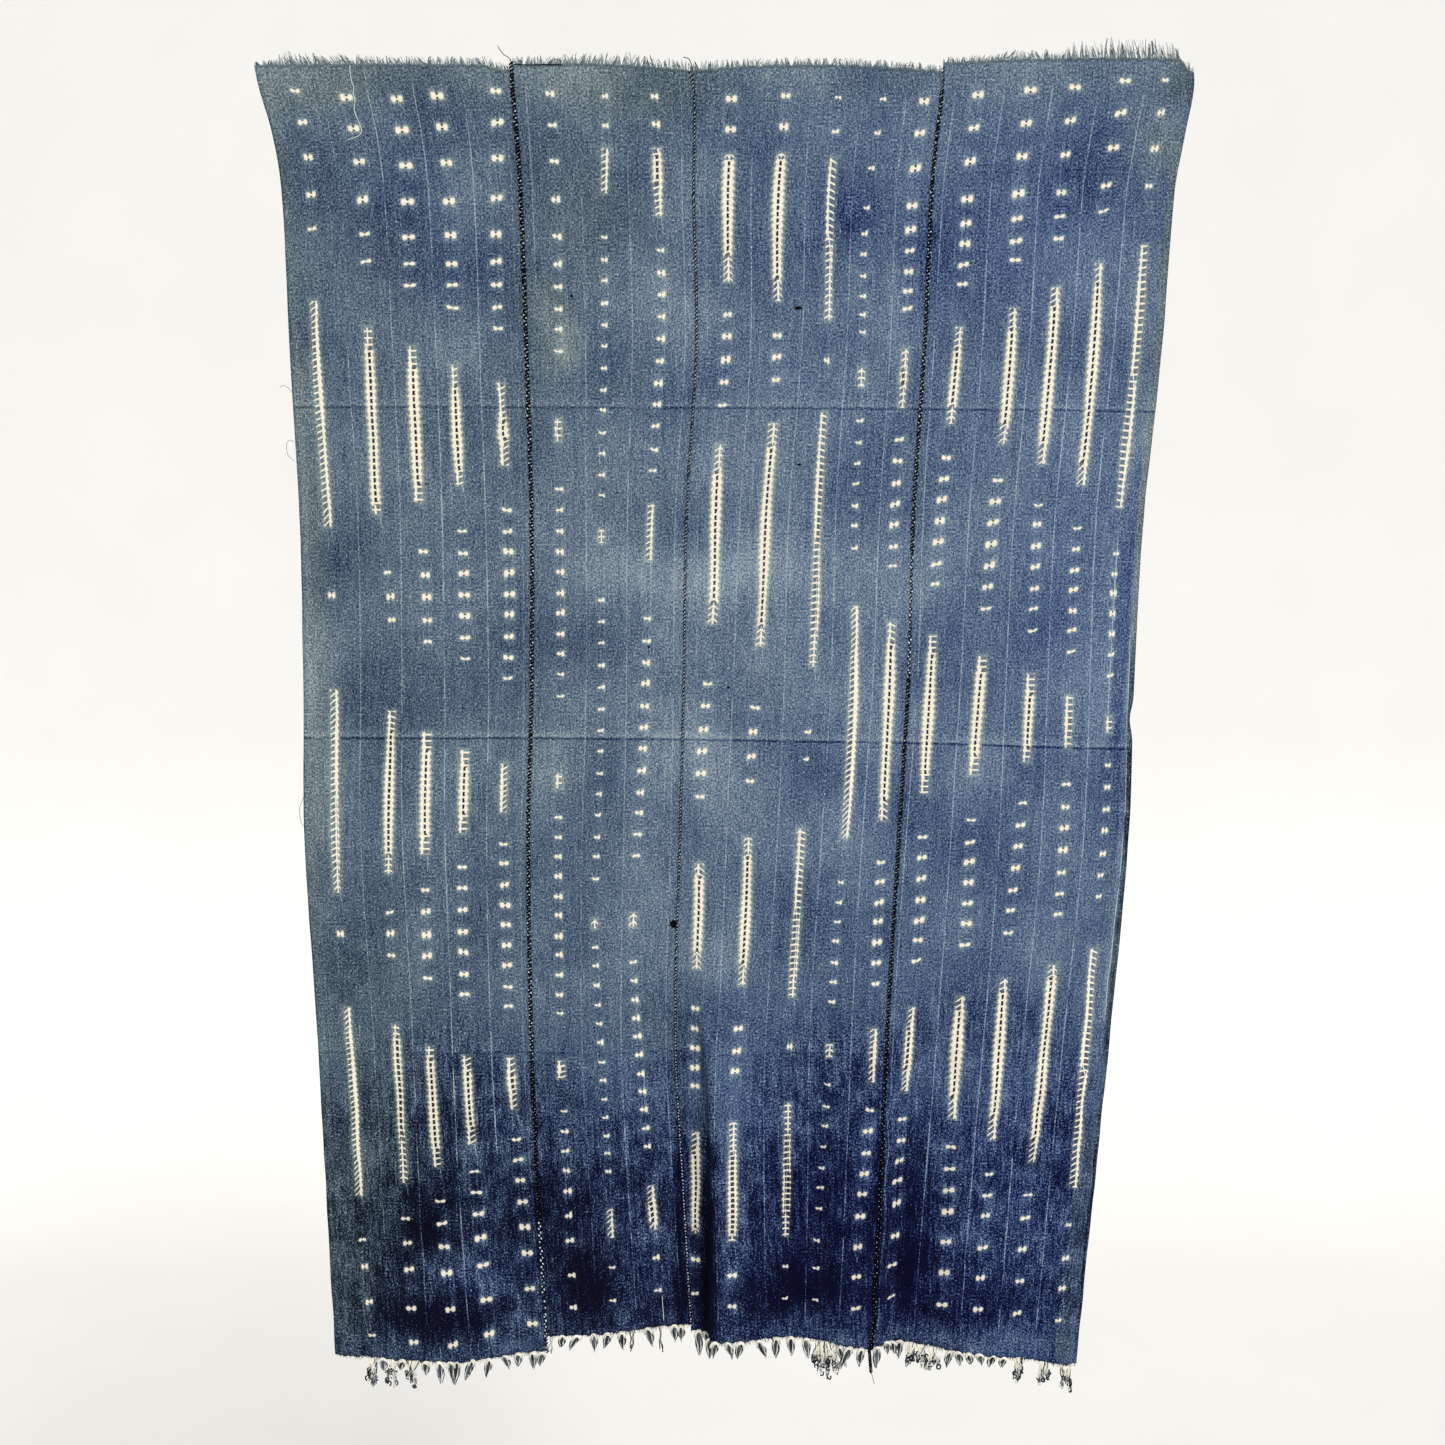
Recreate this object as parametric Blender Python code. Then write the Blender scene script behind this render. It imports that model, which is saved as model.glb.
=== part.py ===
"""An indigo cloth of four hand-woven strips, hanging by its top edge.

Metres, +Z up. The origin is the middle of the top edge, on the plane that the cloth hangs
against. +X runs to the right as the cloth is seen from the front, and the front faces -Y.
Each strip is a thin sheet in its own folds. Under each hem lies a row of knotted tassels on
a narrow backing, and over each top edge a row of frayed warp ends on another.
"""

import math
import random
from typing import NamedTuple

import bmesh
import bpy
from mathutils import Vector

CLOTH_THICKNESS = 0.0012
PIECE_GAP = 0.0003
WALL_CLEARANCE = 0.0012
STORED_QUARTERS = 4
ROWS_PER_QUARTER = 7
FIRST_ROW_DROP = 0.028
DIFFERENCE_STEP = 0.001
FOREVER = 9.0
SHARP_ANGLE_DEG = 40.0
CHANCE_SEED = 18


class Level(NamedTuple):
    """Where the edges and the seams hang at one drop below the top edge."""

    drop: float
    left: float
    seam_1: float
    seam_2: float
    seam_3: float
    right: float


LEVELS = (
    Level(-0.010, -0.531, -0.240, -0.043, 0.246, 0.527),
    Level(0.025, -0.525, -0.239, -0.035, 0.246, 0.530),
    Level(0.075, -0.512, -0.235, -0.034, 0.241, 0.522),
    Level(0.135, -0.504, -0.232, -0.035, 0.236, 0.513),
    Level(0.300, -0.501, -0.228, -0.032, 0.231, 0.505),
    Level(0.500, -0.496, -0.225, -0.044, 0.221, 0.491),
    Level(0.700, -0.499, -0.228, -0.048, 0.218, 0.488),
    Level(0.880, -0.504, -0.235, -0.053, 0.210, 0.488),
    Level(1.130, -0.496, -0.235, -0.060, 0.198, 0.473),
    Level(1.340, -0.493, -0.230, -0.051, 0.191, 0.460),
    Level(1.560, -0.490, -0.222, -0.040, 0.184, 0.446),
)


class Strip(NamedTuple):
    """One woven strip: how high its top edge and how low its hem run, and its columns."""

    number: int
    top_left: float
    top_middle: float
    top_right: float
    hem_left: float
    hem_middle: float
    hem_right: float
    columns: tuple


STRIPS = (
    Strip(
        1, 0.000, 0.001, 0.000, 1.550, 1.557, 1.547,
        (0.0, 0.04, 0.12, 0.24, 0.36, 0.48, 0.60, 0.72, 0.84, 0.95, 1.0),
    ),
    Strip(
        2, 0.000, 0.001, -0.006, 1.525, 1.519, 1.515,
        (0.0, 0.10, 0.22, 0.35, 0.48, 0.60, 0.71, 0.81, 0.91, 1.0),
    ),
    Strip(
        3, -0.006, 0.000, -0.007, 1.521, 1.529, 1.536,
        (0.0, 0.03, 0.06, 0.09, 0.12, 0.15, 0.19, 0.24, 0.32, 0.43, 0.56, 0.69, 0.81, 0.91, 1.0),
    ),
    Strip(
        4, 0.002, 0.007, 0.006, 1.535, 1.547, 1.566,
        (0.0, 0.05, 0.10, 0.15, 0.21, 0.28, 0.38, 0.50, 0.62, 0.74, 0.85, 0.92, 0.96, 1.0),
    ),
)
CORNER_SHARE = 0.07
CORNER_DROP = 0.014


class Fold(NamedTuple):
    """A lengthwise fold: forward of the cloth if its height is above zero, else back."""

    name: str
    across_start: float
    across_hem: float
    left_width: float
    right_width: float
    height: float
    start: float
    full: float
    gone: float


FOLDS = (
    Fold("left bulge", -0.380, -0.350, 0.110, 0.100, 0.007, 0.80, 1.50, FOREVER),
    Fold("left hollow", -0.275, -0.262, 0.060, 0.050, -0.004, 0.95, 1.40, FOREVER),
    Fold("upper left wave", -0.360, -0.380, 0.090, 0.120, 0.004, 0.05, 0.40, 0.90),
    Fold("second strip bulge", -0.150, -0.160, 0.070, 0.080, 0.005, 0.60, 1.20, FOREVER),
    Fold("hollow at seam 2", -0.060, -0.044, 0.090, 0.032, -0.008, 0.80, 1.30, FOREVER),
    Fold("deep fold", -0.026, -0.006, 0.016, 0.090, 0.020, 1.02, 1.26, FOREVER),
    Fold("middle hollow", 0.080, 0.084, 0.060, 0.060, -0.004, 0.70, 1.30, FOREVER),
    Fold("upper middle wave", 0.060, 0.090, 0.100, 0.090, 0.005, 0.10, 0.45, 1.00),
    Fold("ridge on seam 3", 0.198, 0.176, 0.070, 0.044, 0.013, 0.92, 1.38, FOREVER),
    Fold("hollow right of seam 3", 0.240, 0.222, 0.034, 0.070, -0.010, 0.92, 1.38, FOREVER),
    Fold("right bulge", 0.330, 0.310, 0.070, 0.090, 0.006, 0.75, 1.35, FOREVER),
    Fold("upper right wave", 0.380, 0.370, 0.090, 0.080, 0.004, 0.10, 0.40, 0.95),
    Fold("ridge on the last column", 0.461, 0.430, 0.040, 0.026, 0.005, 0.38, 0.75, FOREVER),
)
LEANING_FOLD = "deep fold"
LEAN = 0.35

HANG_FORWARD_TOP = 0.0020
HANG_FORWARD_HEM = 0.0130
HANG_FORWARD_DROP = 1.10
STORED_KINK = 0.0030
WALL_SOFTNESS = 0.0030
EDGE_ROLL_WIDTH = 0.020
EDGE_ROLL_DEPTH = 0.009
EDGE_ROLL_START = 0.35
EDGE_ROLL_FULL = 0.75

BACKING_HEIGHT = 0.0025
STATION_SPACING = 0.001
TASSEL_WIDTH = 0.0050
TASSEL_CLEARANCE = 0.0085
TASSEL_JITTER = 0.0030
TASSEL_FORWARD = 0.0014
TASSEL_SWAY = 0.0012
BUNDLE_SHORTEST = 0.82


class TasselRow(NamedTuple):
    """Evenly knotted tassels under one hem, in shares of the strip's width."""

    strip: int
    first: float
    last: float
    count: int
    length: float
    length_spread: float


TASSEL_ROWS = (
    TasselRow(1, 0.165, 0.975, 13, 0.022, 0.008),
    TasselRow(2, 0.035, 0.960, 11, 0.024, 0.007),
    TasselRow(3, 0.070, 0.660, 9, 0.023, 0.004),
    TasselRow(3, 0.815, 0.930, 2, 0.022, 0.003),
    TasselRow(4, 0.045, 0.150, 3, 0.018, 0.003),
    TasselRow(4, 0.400, 0.650, 5, 0.021, 0.004),
)


class Bundle(NamedTuple):
    """Tassels that hang together as one longer, thicker tuft."""

    strip: int
    first: float
    last: float
    count: int
    length: float


BUNDLES = (
    Bundle(3, 0.720, 0.765, 2, 0.046),
    Bundle(3, 0.978, 0.978, 1, 0.044),
    Bundle(4, 0.205, 0.340, 5, 0.034),
    Bundle(4, 0.700, 0.765, 3, 0.036),
    Bundle(4, 0.815, 0.875, 3, 0.036),
    Bundle(4, 0.925, 0.972, 2, 0.038),
)


class TasselRing(NamedTuple):
    """One ring of a tassel: how far down it lies, and its size there."""

    down: float
    width: float
    depth: float


TASSEL_RINGS = (
    TasselRing(0.16, 0.0050, 0.0030),
    TasselRing(0.45, 0.0054, 0.0034),
    TasselRing(1.00, 0.0022, 0.0014),
)


class FrayRow(NamedTuple):
    """Warp ends left free above one strip's top edge, in shares of the strip's width."""

    strip: int
    first: float
    last: float
    count: int
    height: float
    height_spread: float


FRAY_ROWS = (
    FrayRow(1, 0.020, 0.965, 20, 0.010, 0.004),
    FrayRow(2, 0.060, 0.930, 15, 0.011, 0.004),
    FrayRow(3, 0.030, 0.970, 20, 0.009, 0.003),
    FrayRow(4, 0.030, 0.420, 9, 0.009, 0.006),
    FrayRow(4, 0.470, 0.915, 12, 0.017, 0.005),
)
FRAY_WIDTH = 0.0040
FRAY_TIP_WIDTH = 0.0012
FRAY_TIP_DEPTH = 0.0006
FRAY_LEAN = 0.0035
FRAY_FORWARD = 0.0006


class Look(NamedTuple):
    """A material's colour and surface."""

    name: str
    red: float
    green: float
    blue: float
    roughness: float


CLOTH_LOOK = Look("indigo cotton", 0.045, 0.090, 0.220, 0.92)
TASSEL_LOOK = Look("knotted warp ends", 0.060, 0.080, 0.120, 0.95)
FRAY_LOOK = Look("frayed warp ends", 0.160, 0.220, 0.250, 0.95)


def eased(share):
    """Goes from 0 to 1 with level ends as its share does."""
    held = min(1.0, max(0.0, share))
    return held * held * (3.0 - 2.0 * held)


def bump(distance, left_width, right_width):
    """Height of a fold's section, 1 on its line and 0 past its widths."""
    width = left_width if distance < 0.0 else right_width
    reach = min(1.0, abs(distance) / width)
    return (1.0 - reach * reach) ** 2


def through_three(left, middle, right, share):
    """A smooth curve through three values at shares 0, 0.5 and 1."""
    bow = middle - 0.5 * (left + right)
    return left + (right - left) * share + 4.0 * bow * share * (1.0 - share)


def level_slope(index, line):
    """How fast an edge or a seam drifts across at one level."""
    above = LEVELS[max(0, index - 1)]
    below = LEVELS[min(len(LEVELS) - 1, index + 1)]
    return (below[line] - above[line]) / (below.drop - above.drop)


def line_across(line, drop):
    """X of an edge or a seam at one drop: a curve through the levels."""
    index = 0
    while index < len(LEVELS) - 2 and drop > LEVELS[index + 1].drop:
        index += 1
    upper, lower = LEVELS[index], LEVELS[index + 1]
    span = lower.drop - upper.drop
    share = min(1.0, max(0.0, (drop - upper.drop) / span))
    rest = 1.0 - share
    near = rest * rest * ((1.0 + 2.0 * share) * upper[line] + share * span * level_slope(index, line))
    far = share * share * ((3.0 - 2.0 * share) * lower[line] - rest * span * level_slope(index + 1, line))
    return near + far


def fold_height(fold, across, drop):
    """How far one fold brings the cloth forward at a place."""
    grown = eased((drop - fold.start) / (fold.full - fold.start))
    left = 1.0 - eased((drop - fold.gone) / (fold.full - fold.start))
    line = fold.across_start + (fold.across_hem - fold.across_start) * grown
    return fold.height * grown * left * bump(across - line, fold.left_width, fold.right_width)


def stored_kink(drop):
    """The zigzag that being stored folded in four has left down the cloth."""
    quarter = drop * STORED_QUARTERS / STRIPS[0].hem_middle
    zigzag = 2.0 * abs(2.0 * (0.5 * quarter - math.floor(0.5 * quarter + 0.5))) - 1.0
    return STORED_KINK * zigzag * eased(quarter)


def forward_of_wall(across, drop):
    """How far the middle of the cloth lies in front of the wall."""
    forward = HANG_FORWARD_TOP
    forward += (HANG_FORWARD_HEM - HANG_FORWARD_TOP) * eased(drop / HANG_FORWARD_DROP)
    forward += stored_kink(drop)
    forward += sum(fold_height(fold, across, drop) for fold in FOLDS)
    right = line_across(Level._fields.index("right"), drop)
    rolled = eased((drop - EDGE_ROLL_START) / (EDGE_ROLL_FULL - EDGE_ROLL_START))
    turned = eased((across - right + EDGE_ROLL_WIDTH) / EDGE_ROLL_WIDTH)
    forward -= EDGE_ROLL_DEPTH * rolled * turned
    spare = forward - WALL_CLEARANCE
    return WALL_CLEARANCE + 0.5 * (spare + math.hypot(spare, WALL_SOFTNESS))


def surface_point(across, drop):
    """The middle of the cloth at a place on its front view."""
    leaning = sum(fold_height(fold, across, drop) for fold in FOLDS if fold.name == LEANING_FOLD)
    return Vector((across - LEAN * leaning, -forward_of_wall(across, drop), -drop))


def surface_facing(across, drop):
    """Unit vector out of the cloth's front face."""
    step = DIFFERENCE_STEP
    along = surface_point(across + step, drop) - surface_point(across - step, drop)
    down = surface_point(across, drop + step) - surface_point(across, drop - step)
    return down.cross(along).normalized()


def top_drop(strip, share_across):
    """Drop of a strip's top edge, with the last strip's worn corner."""
    drop = -through_three(strip.top_left, strip.top_middle, strip.top_right, share_across)
    if strip is STRIPS[-1]:
        drop += CORNER_DROP * eased((share_across - 1.0 + CORNER_SHARE) / CORNER_SHARE)
    return drop


def hem_drop(strip, share_across):
    """Drop of a strip's hem."""
    return through_three(strip.hem_left, strip.hem_middle, strip.hem_right, share_across)


def row_drops():
    """Drops of the rows between the top edge and the hem, the same on every strip."""
    count = STORED_QUARTERS * ROWS_PER_QUARTER
    length = STRIPS[0].hem_middle
    return [FIRST_ROW_DROP] + [length * row / count for row in range(1, count)]


def strip_faces_at(strip, share_across, drop):
    """Front and back points of a strip at one grid place."""
    left = line_across(strip.number, drop) + 0.5 * PIECE_GAP
    right = line_across(strip.number + 1, drop) - 0.5 * PIECE_GAP
    across = left + (right - left) * share_across
    middle = surface_point(across, drop)
    out = surface_facing(across, drop) * (0.5 * CLOTH_THICKNESS)
    return middle + out, middle - out


def edge_at(strip, share_across, end_drop):
    """Front and back points on a strip's straight-sided end edge, between its columns."""
    columns = strip.columns
    index = 0
    while index < len(columns) - 2 and share_across > columns[index + 1]:
        index += 1
    share = (share_across - columns[index]) / (columns[index + 1] - columns[index])
    near, far = (
        strip_faces_at(strip, column, end_drop(strip, column)) for column in columns[index:index + 2]
    )
    return near[0].lerp(far[0], share), near[1].lerp(far[1], share)


def material_of(look):
    """A plain material with the look's colour and surface."""
    material = bpy.data.materials.new(look.name)
    material.use_nodes = True
    shader = material.node_tree.nodes["Principled BSDF"]
    shader.inputs["Base Color"].default_value = (look.red, look.green, look.blue, 1.0)
    shader.inputs["Roughness"].default_value = look.roughness
    shader.inputs["Metallic"].default_value = 0.0
    return material


def add_object(name, shape, look):
    """Turns a closed bmesh into a named object with its own material."""
    bmesh.ops.recalc_face_normals(shape, faces=shape.faces)
    mesh = bpy.data.meshes.new(name)
    shape.to_mesh(mesh)
    shape.free()
    mesh.shade_smooth()
    mesh.set_sharp_from_angle(angle=math.radians(SHARP_ANGLE_DEG))
    mesh.materials.append(material_of(look))
    bpy.context.scene.collection.objects.link(bpy.data.objects.new(name, mesh))


def build_strip(strip):
    """One woven strip as a closed sheet between its two seams or edges."""
    shape = bmesh.new()
    rows = [[top_drop(strip, column) for column in strip.columns]]
    rows += [[drop] * len(strip.columns) for drop in row_drops()]
    rows += [[hem_drop(strip, column) for column in strip.columns]]
    fronts, backs = [], []
    for drops in rows:
        pairs = [strip_faces_at(strip, *place) for place in zip(strip.columns, drops)]
        fronts.append([shape.verts.new(front) for front, _ in pairs])
        backs.append([shape.verts.new(back) for _, back in pairs])
    last = len(strip.columns) - 1
    row_count = len(rows) - 1
    for row in range(row_count):
        for column in range(last):
            for face in (fronts, backs):
                above, below = face[row], face[row + 1]
                shape.faces.new((above[column], above[column + 1], below[column + 1], below[column]))
        for column in (0, last):
            upper = (fronts[row][column], backs[row][column])
            lower = (backs[row + 1][column], fronts[row + 1][column])
            shape.faces.new(upper + lower)
    for row in (0, row_count):
        for column in range(last):
            near = (fronts[row][column], backs[row][column])
            far = (backs[row][column + 1], fronts[row][column + 1])
            shape.faces.new(near + far)
    add_object(f"strip_{strip.number}", shape, CLOTH_LOOK)


class Lock(NamedTuple):
    """A tassel or a tuft on a backing: its middle, base width, reach and lean."""

    middle: float
    width: float
    reach: float
    lean: float


def spaced(first, last, count):
    """Shares from first to last, evenly apart."""
    if count == 1:
        return [first]
    return [first + (last - first) * index / (count - 1) for index in range(count)]


def tassels_of(strip, width, chance):
    """The tassels under one strip's hem, left to right."""
    found = []
    for row in TASSEL_ROWS:
        if row.strip == strip.number:
            for share in spaced(row.first, row.last, row.count):
                moved = share * width + chance.uniform(-TASSEL_JITTER, TASSEL_JITTER)
                length = row.length + chance.uniform(-0.5, 0.5) * row.length_spread
                sway = chance.uniform(-TASSEL_SWAY, TASSEL_SWAY)
                found.append(Lock(moved / width, TASSEL_WIDTH, length, sway))
    for bundle in BUNDLES:
        if bundle.strip == strip.number:
            for share in spaced(bundle.first, bundle.last, bundle.count):
                length = bundle.length * chance.uniform(BUNDLE_SHORTEST, 1.0)
                sway = chance.uniform(-TASSEL_SWAY, TASSEL_SWAY)
                found.append(Lock(share, TASSEL_WIDTH, length, sway))
    return parted(sorted(found), width, TASSEL_CLEARANCE)


def parted(locks, width, clearance):
    """The locks moved right where two middles would lie closer than the clearance."""
    placed = []
    for lock in locks:
        least = placed[-1].middle + clearance / width if placed else 0.0
        placed.append(lock._replace(middle=max(lock.middle, least)))
    return placed


def frays_of(strip, width, chance):
    """The tufts of warp ends over one strip's top edge, left to right."""
    found = []
    for row in FRAY_ROWS:
        if row.strip == strip.number:
            for share in spaced(row.first, row.last, row.count):
                height = row.height + chance.uniform(-0.5, 0.5) * row.height_spread
                lean = chance.uniform(-FRAY_LEAN, FRAY_LEAN)
                found.append(Lock(share, FRAY_WIDTH, height, lean))
    return parted(sorted(found), width, FRAY_WIDTH + FRAY_LEAN)


def ring_around(shape, middle, width, depth):
    """Four points around a lock at one height: front left, front right, back right, back left."""
    corners = ((-0.5, -0.5), (0.5, -0.5), (0.5, 0.5), (-0.5, 0.5))
    return [shape.verts.new(middle + Vector((x * width, y * depth, 0.0))) for x, y in corners]


def join_rings(shape, near, far):
    """The four sides between two rings."""
    for corner in range(4):
        other = (corner + 1) % 4
        shape.faces.new((near[corner], near[other], far[other], far[corner]))


def hang_tassel(shape, base, lock):
    """Grows a knotted tassel down from four points of the backing."""
    root = sum((corner.co for corner in base), Vector()) / 4.0
    near = base
    for ring in TASSEL_RINGS:
        shift = Vector((lock.lean * ring.down, -TASSEL_FORWARD, -lock.reach * ring.down))
        far = ring_around(shape, root + shift, ring.width, ring.depth)
        join_rings(shape, near, far)
        near = far
    shape.faces.new(near)


def raise_fray(shape, base, lock):
    """Grows a thin leaning tuft up from four points of the backing."""
    root = sum((corner.co for corner in base), Vector()) / 4.0
    tip = root + Vector((lock.lean, -FRAY_FORWARD, lock.reach))
    ring = ring_around(shape, tip, FRAY_TIP_WIDTH, FRAY_TIP_DEPTH)
    join_rings(shape, base, ring)
    shape.faces.new(ring)


def build_lock_row(name, strip, end_drop, locks, width, grow, look):
    """A narrow backing along a strip's end edge, with one lock grown at each of its places."""
    toward = 1.0 if end_drop is top_drop else -1.0
    starts = {lock.middle - 0.5 * lock.width / width: lock for lock in locks}
    ends = {lock.middle + 0.5 * lock.width / width for lock in locks}
    reserved = [0.5 * lock.width / width + STATION_SPACING / width for lock in locks]
    free = {
        share
        for share in strip.columns
        if min(starts) < share < max(ends)
        and all(abs(share - lock.middle) > half for lock, half in zip(locks, reserved))
    }
    stations = sorted({*starts, *ends, *free})
    shape = bmesh.new()
    sections = []
    for share in stations:
        section = []
        for point in edge_at(strip, share, end_drop):
            for reach in (PIECE_GAP, PIECE_GAP + BACKING_HEIGHT):
                section.append(shape.verts.new(point + Vector((0.0, 0.0, toward * reach))))
        sections.append(section)
    for share, near, far in zip(stations, sections, sections[1:]):
        front_root, front_free, back_root, back_free = near
        next_front_root, next_front_free, next_back_root, next_back_free = far
        shape.faces.new((front_root, next_front_root, next_front_free, front_free))
        shape.faces.new((back_root, next_back_root, next_back_free, back_free))
        shape.faces.new((front_root, next_front_root, next_back_root, back_root))
        outer = [front_free, next_front_free, next_back_free, back_free]
        if share in starts:
            grow(shape, outer, starts[share])
        else:
            shape.faces.new(outer)
    for front_root, front_free, back_root, back_free in (sections[0], sections[-1]):
        shape.faces.new((front_root, front_free, back_free, back_root))
    add_object(name, shape, look)


def build_ends(strip, chance):
    """The tassels under a strip's hem and the frayed ends over its top edge."""
    top_width, hem_width = (
        line_across(strip.number + 1, drop) - line_across(strip.number, drop)
        for drop in (top_drop(strip, 0.5), hem_drop(strip, 0.5))
    )
    tassels = tassels_of(strip, hem_width, chance)
    frays = frays_of(strip, top_width, chance)
    number = strip.number
    build_lock_row(f"tassels_{number}", strip, hem_drop, tassels, hem_width, hang_tassel, TASSEL_LOOK)
    build_lock_row(f"fray_{number}", strip, top_drop, frays, top_width, raise_fray, FRAY_LOOK)


def main():
    """Clears the scene and builds the cloth."""
    for existing in list(bpy.data.objects):
        bpy.data.objects.remove(existing)
    chance = random.Random(CHANCE_SEED)
    for strip in STRIPS:
        build_strip(strip)
        build_ends(strip, chance)


main()
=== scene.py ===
"""The indigo strip cloth: finished sheets, seams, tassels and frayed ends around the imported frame."""

import logging
import math
from dataclasses import dataclass, field
from enum import Enum
from typing import NamedTuple

import bpy
import numpy as np
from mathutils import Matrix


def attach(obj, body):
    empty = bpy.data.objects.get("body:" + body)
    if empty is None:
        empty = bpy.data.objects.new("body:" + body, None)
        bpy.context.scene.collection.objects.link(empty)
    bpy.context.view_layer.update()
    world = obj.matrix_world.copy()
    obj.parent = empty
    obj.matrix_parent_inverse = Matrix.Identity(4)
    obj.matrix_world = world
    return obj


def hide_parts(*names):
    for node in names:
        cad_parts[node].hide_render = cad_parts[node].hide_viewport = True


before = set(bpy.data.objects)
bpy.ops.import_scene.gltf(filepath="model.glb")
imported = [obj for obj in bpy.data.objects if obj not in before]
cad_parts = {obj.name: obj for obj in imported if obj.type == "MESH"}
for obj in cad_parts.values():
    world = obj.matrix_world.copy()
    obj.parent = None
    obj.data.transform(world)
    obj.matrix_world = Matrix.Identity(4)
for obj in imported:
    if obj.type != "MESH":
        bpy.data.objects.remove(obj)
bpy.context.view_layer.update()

Array = np.ndarray
Chance = np.random.Generator
Piece = bpy.types.Object
Finish = bpy.types.Material
Socket = bpy.types.NodeSocket
Colour = tuple[float, float, float, float]
Stops = tuple[tuple[float, Colour], ...]
Shades = tuple[tuple[int, int, int], ...]
LOG = logging.getLogger("strip_cloth")

MM = 0.001
RIPPLE_SEED = 41
DYE_SEED = 11
SPOT_SEED = 700
LACING_SEED = 310
FRAY_SEED = 520
TASSEL_SEED = 860
WARP_PITCH = 1.15
WEFT_PITCH = 1.30
OTHER_COLUMN = 1e6
CLOTH_THICKNESS = 0.0012
PIECE_GAP = 0.0003
WALL_CLEARANCE = 0.0012
STORED_QUARTERS = 4
STORED_LENGTH = 1.557
DIFFERENCE_STEP = 0.0008
FOREVER = 9.0
LEANING_FOLD = "deep fold"
LEAN = 0.35
HANG_FORWARD_TOP = 0.0020
HANG_FORWARD_HEM = 0.0130
HANG_FORWARD_DROP = 1.10
STORED_KINK = 0.0030
WALL_SOFTNESS = 0.0030
EDGE_ROLL_WIDTH = 0.020
EDGE_ROLL_DEPTH = 0.009
EDGE_ROLL_START = 0.35
EDGE_ROLL_FULL = 0.75
CORNER_SHARE = 0.07
CORNER_DROP = 0.014
WORN_SHARE = 0.14
WORN_DROP = 0.0060
STITCH_PITCH = 7.4
STORED_CREASES = ((0.3785, 0.3835), (0.7645, 0.7790), (1.1515, 1.1540))
FOLDED_EDGE_DROP = 0.742
FOLDED_EDGE_REACH = 0.016
FOLDED_EDGE_DEPTH = 0.0045
FOLDED_EDGE_SHARE = 0.95
MAP_MARGIN = 0.004
MAP_LOW = 0.012
MAP_SPAN = 0.984
MAP_WIDTH = 0.480


class Level(NamedTuple):
    """Where the edges and the seams hang at one drop below the top edge, in metres."""

    drop: float
    left: float
    seam_1: float
    seam_2: float
    seam_3: float
    right: float


LEVELS = (
    Level(-0.010, -0.531, -0.240, -0.043, 0.246, 0.527),
    Level(0.025, -0.525, -0.239, -0.035, 0.246, 0.530),
    Level(0.075, -0.512, -0.235, -0.034, 0.241, 0.522),
    Level(0.135, -0.504, -0.232, -0.035, 0.236, 0.513),
    Level(0.300, -0.501, -0.228, -0.032, 0.231, 0.505),
    Level(0.500, -0.496, -0.225, -0.044, 0.221, 0.491),
    Level(0.700, -0.499, -0.228, -0.048, 0.218, 0.488),
    Level(0.880, -0.504, -0.235, -0.053, 0.210, 0.488),
    Level(1.130, -0.496, -0.235, -0.060, 0.198, 0.473),
    Level(1.340, -0.493, -0.230, -0.051, 0.191, 0.460),
    Level(1.560, -0.490, -0.222, -0.040, 0.184, 0.446),
)


class Strip(NamedTuple):
    """One woven strip: the heights of its top edge, the drops of its hem, its woven size."""

    number: int
    top_left: float
    top_middle: float
    top_right: float
    hem_left: float
    hem_middle: float
    hem_right: float
    woven_width: float
    woven_length: float


STRIPS = (
    Strip(1, 0.000, 0.001, 0.000, 1.550, 1.557, 1.547, 0.290, 1.560),
    Strip(2, 0.000, 0.001, -0.006, 1.525, 1.519, 1.515, 0.200, 1.530),
    Strip(3, -0.006, 0.000, -0.007, 1.521, 1.529, 1.536, 0.285, 1.540),
    Strip(4, 0.002, 0.007, 0.006, 1.535, 1.547, 1.566, 0.280, 1.560),
)


class Fold(NamedTuple):
    """A lengthwise fold: forward of the cloth if its height is above zero, else back."""

    name: str
    across_start: float
    across_hem: float
    left_width: float
    right_width: float
    height: float
    start: float
    full: float
    gone: float = FOREVER


FOLDS = (
    Fold("left bulge", -0.380, -0.350, 0.110, 0.100, 0.007, 0.80, 1.50),
    Fold("left hollow", -0.275, -0.262, 0.060, 0.050, -0.004, 0.95, 1.40),
    Fold("upper left wave", -0.360, -0.380, 0.090, 0.120, 0.004, 0.05, 0.40, 0.90),
    Fold("second strip bulge", -0.150, -0.160, 0.070, 0.080, 0.005, 0.60, 1.20),
    Fold("hollow at seam 2", -0.060, -0.044, 0.090, 0.032, -0.008, 0.80, 1.30),
    Fold("deep fold", -0.026, -0.006, 0.016, 0.090, 0.020, 1.02, 1.26),
    Fold("middle hollow", 0.080, 0.084, 0.060, 0.060, -0.004, 0.70, 1.30),
    Fold("upper middle wave", 0.060, 0.090, 0.100, 0.090, 0.005, 0.10, 0.45, 1.00),
    Fold("ridge on seam 3", 0.198, 0.176, 0.070, 0.044, 0.013, 0.92, 1.38),
    Fold("hollow right of seam 3", 0.240, 0.222, 0.034, 0.070, -0.010, 0.92, 1.38),
    Fold("right bulge", 0.330, 0.310, 0.070, 0.090, 0.006, 0.75, 1.35),
    Fold("upper right wave", 0.380, 0.370, 0.090, 0.080, 0.004, 0.10, 0.40, 0.95),
    Fold("ridge on the last column", 0.461, 0.430, 0.040, 0.026, 0.005, 0.38, 0.75),
)


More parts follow.
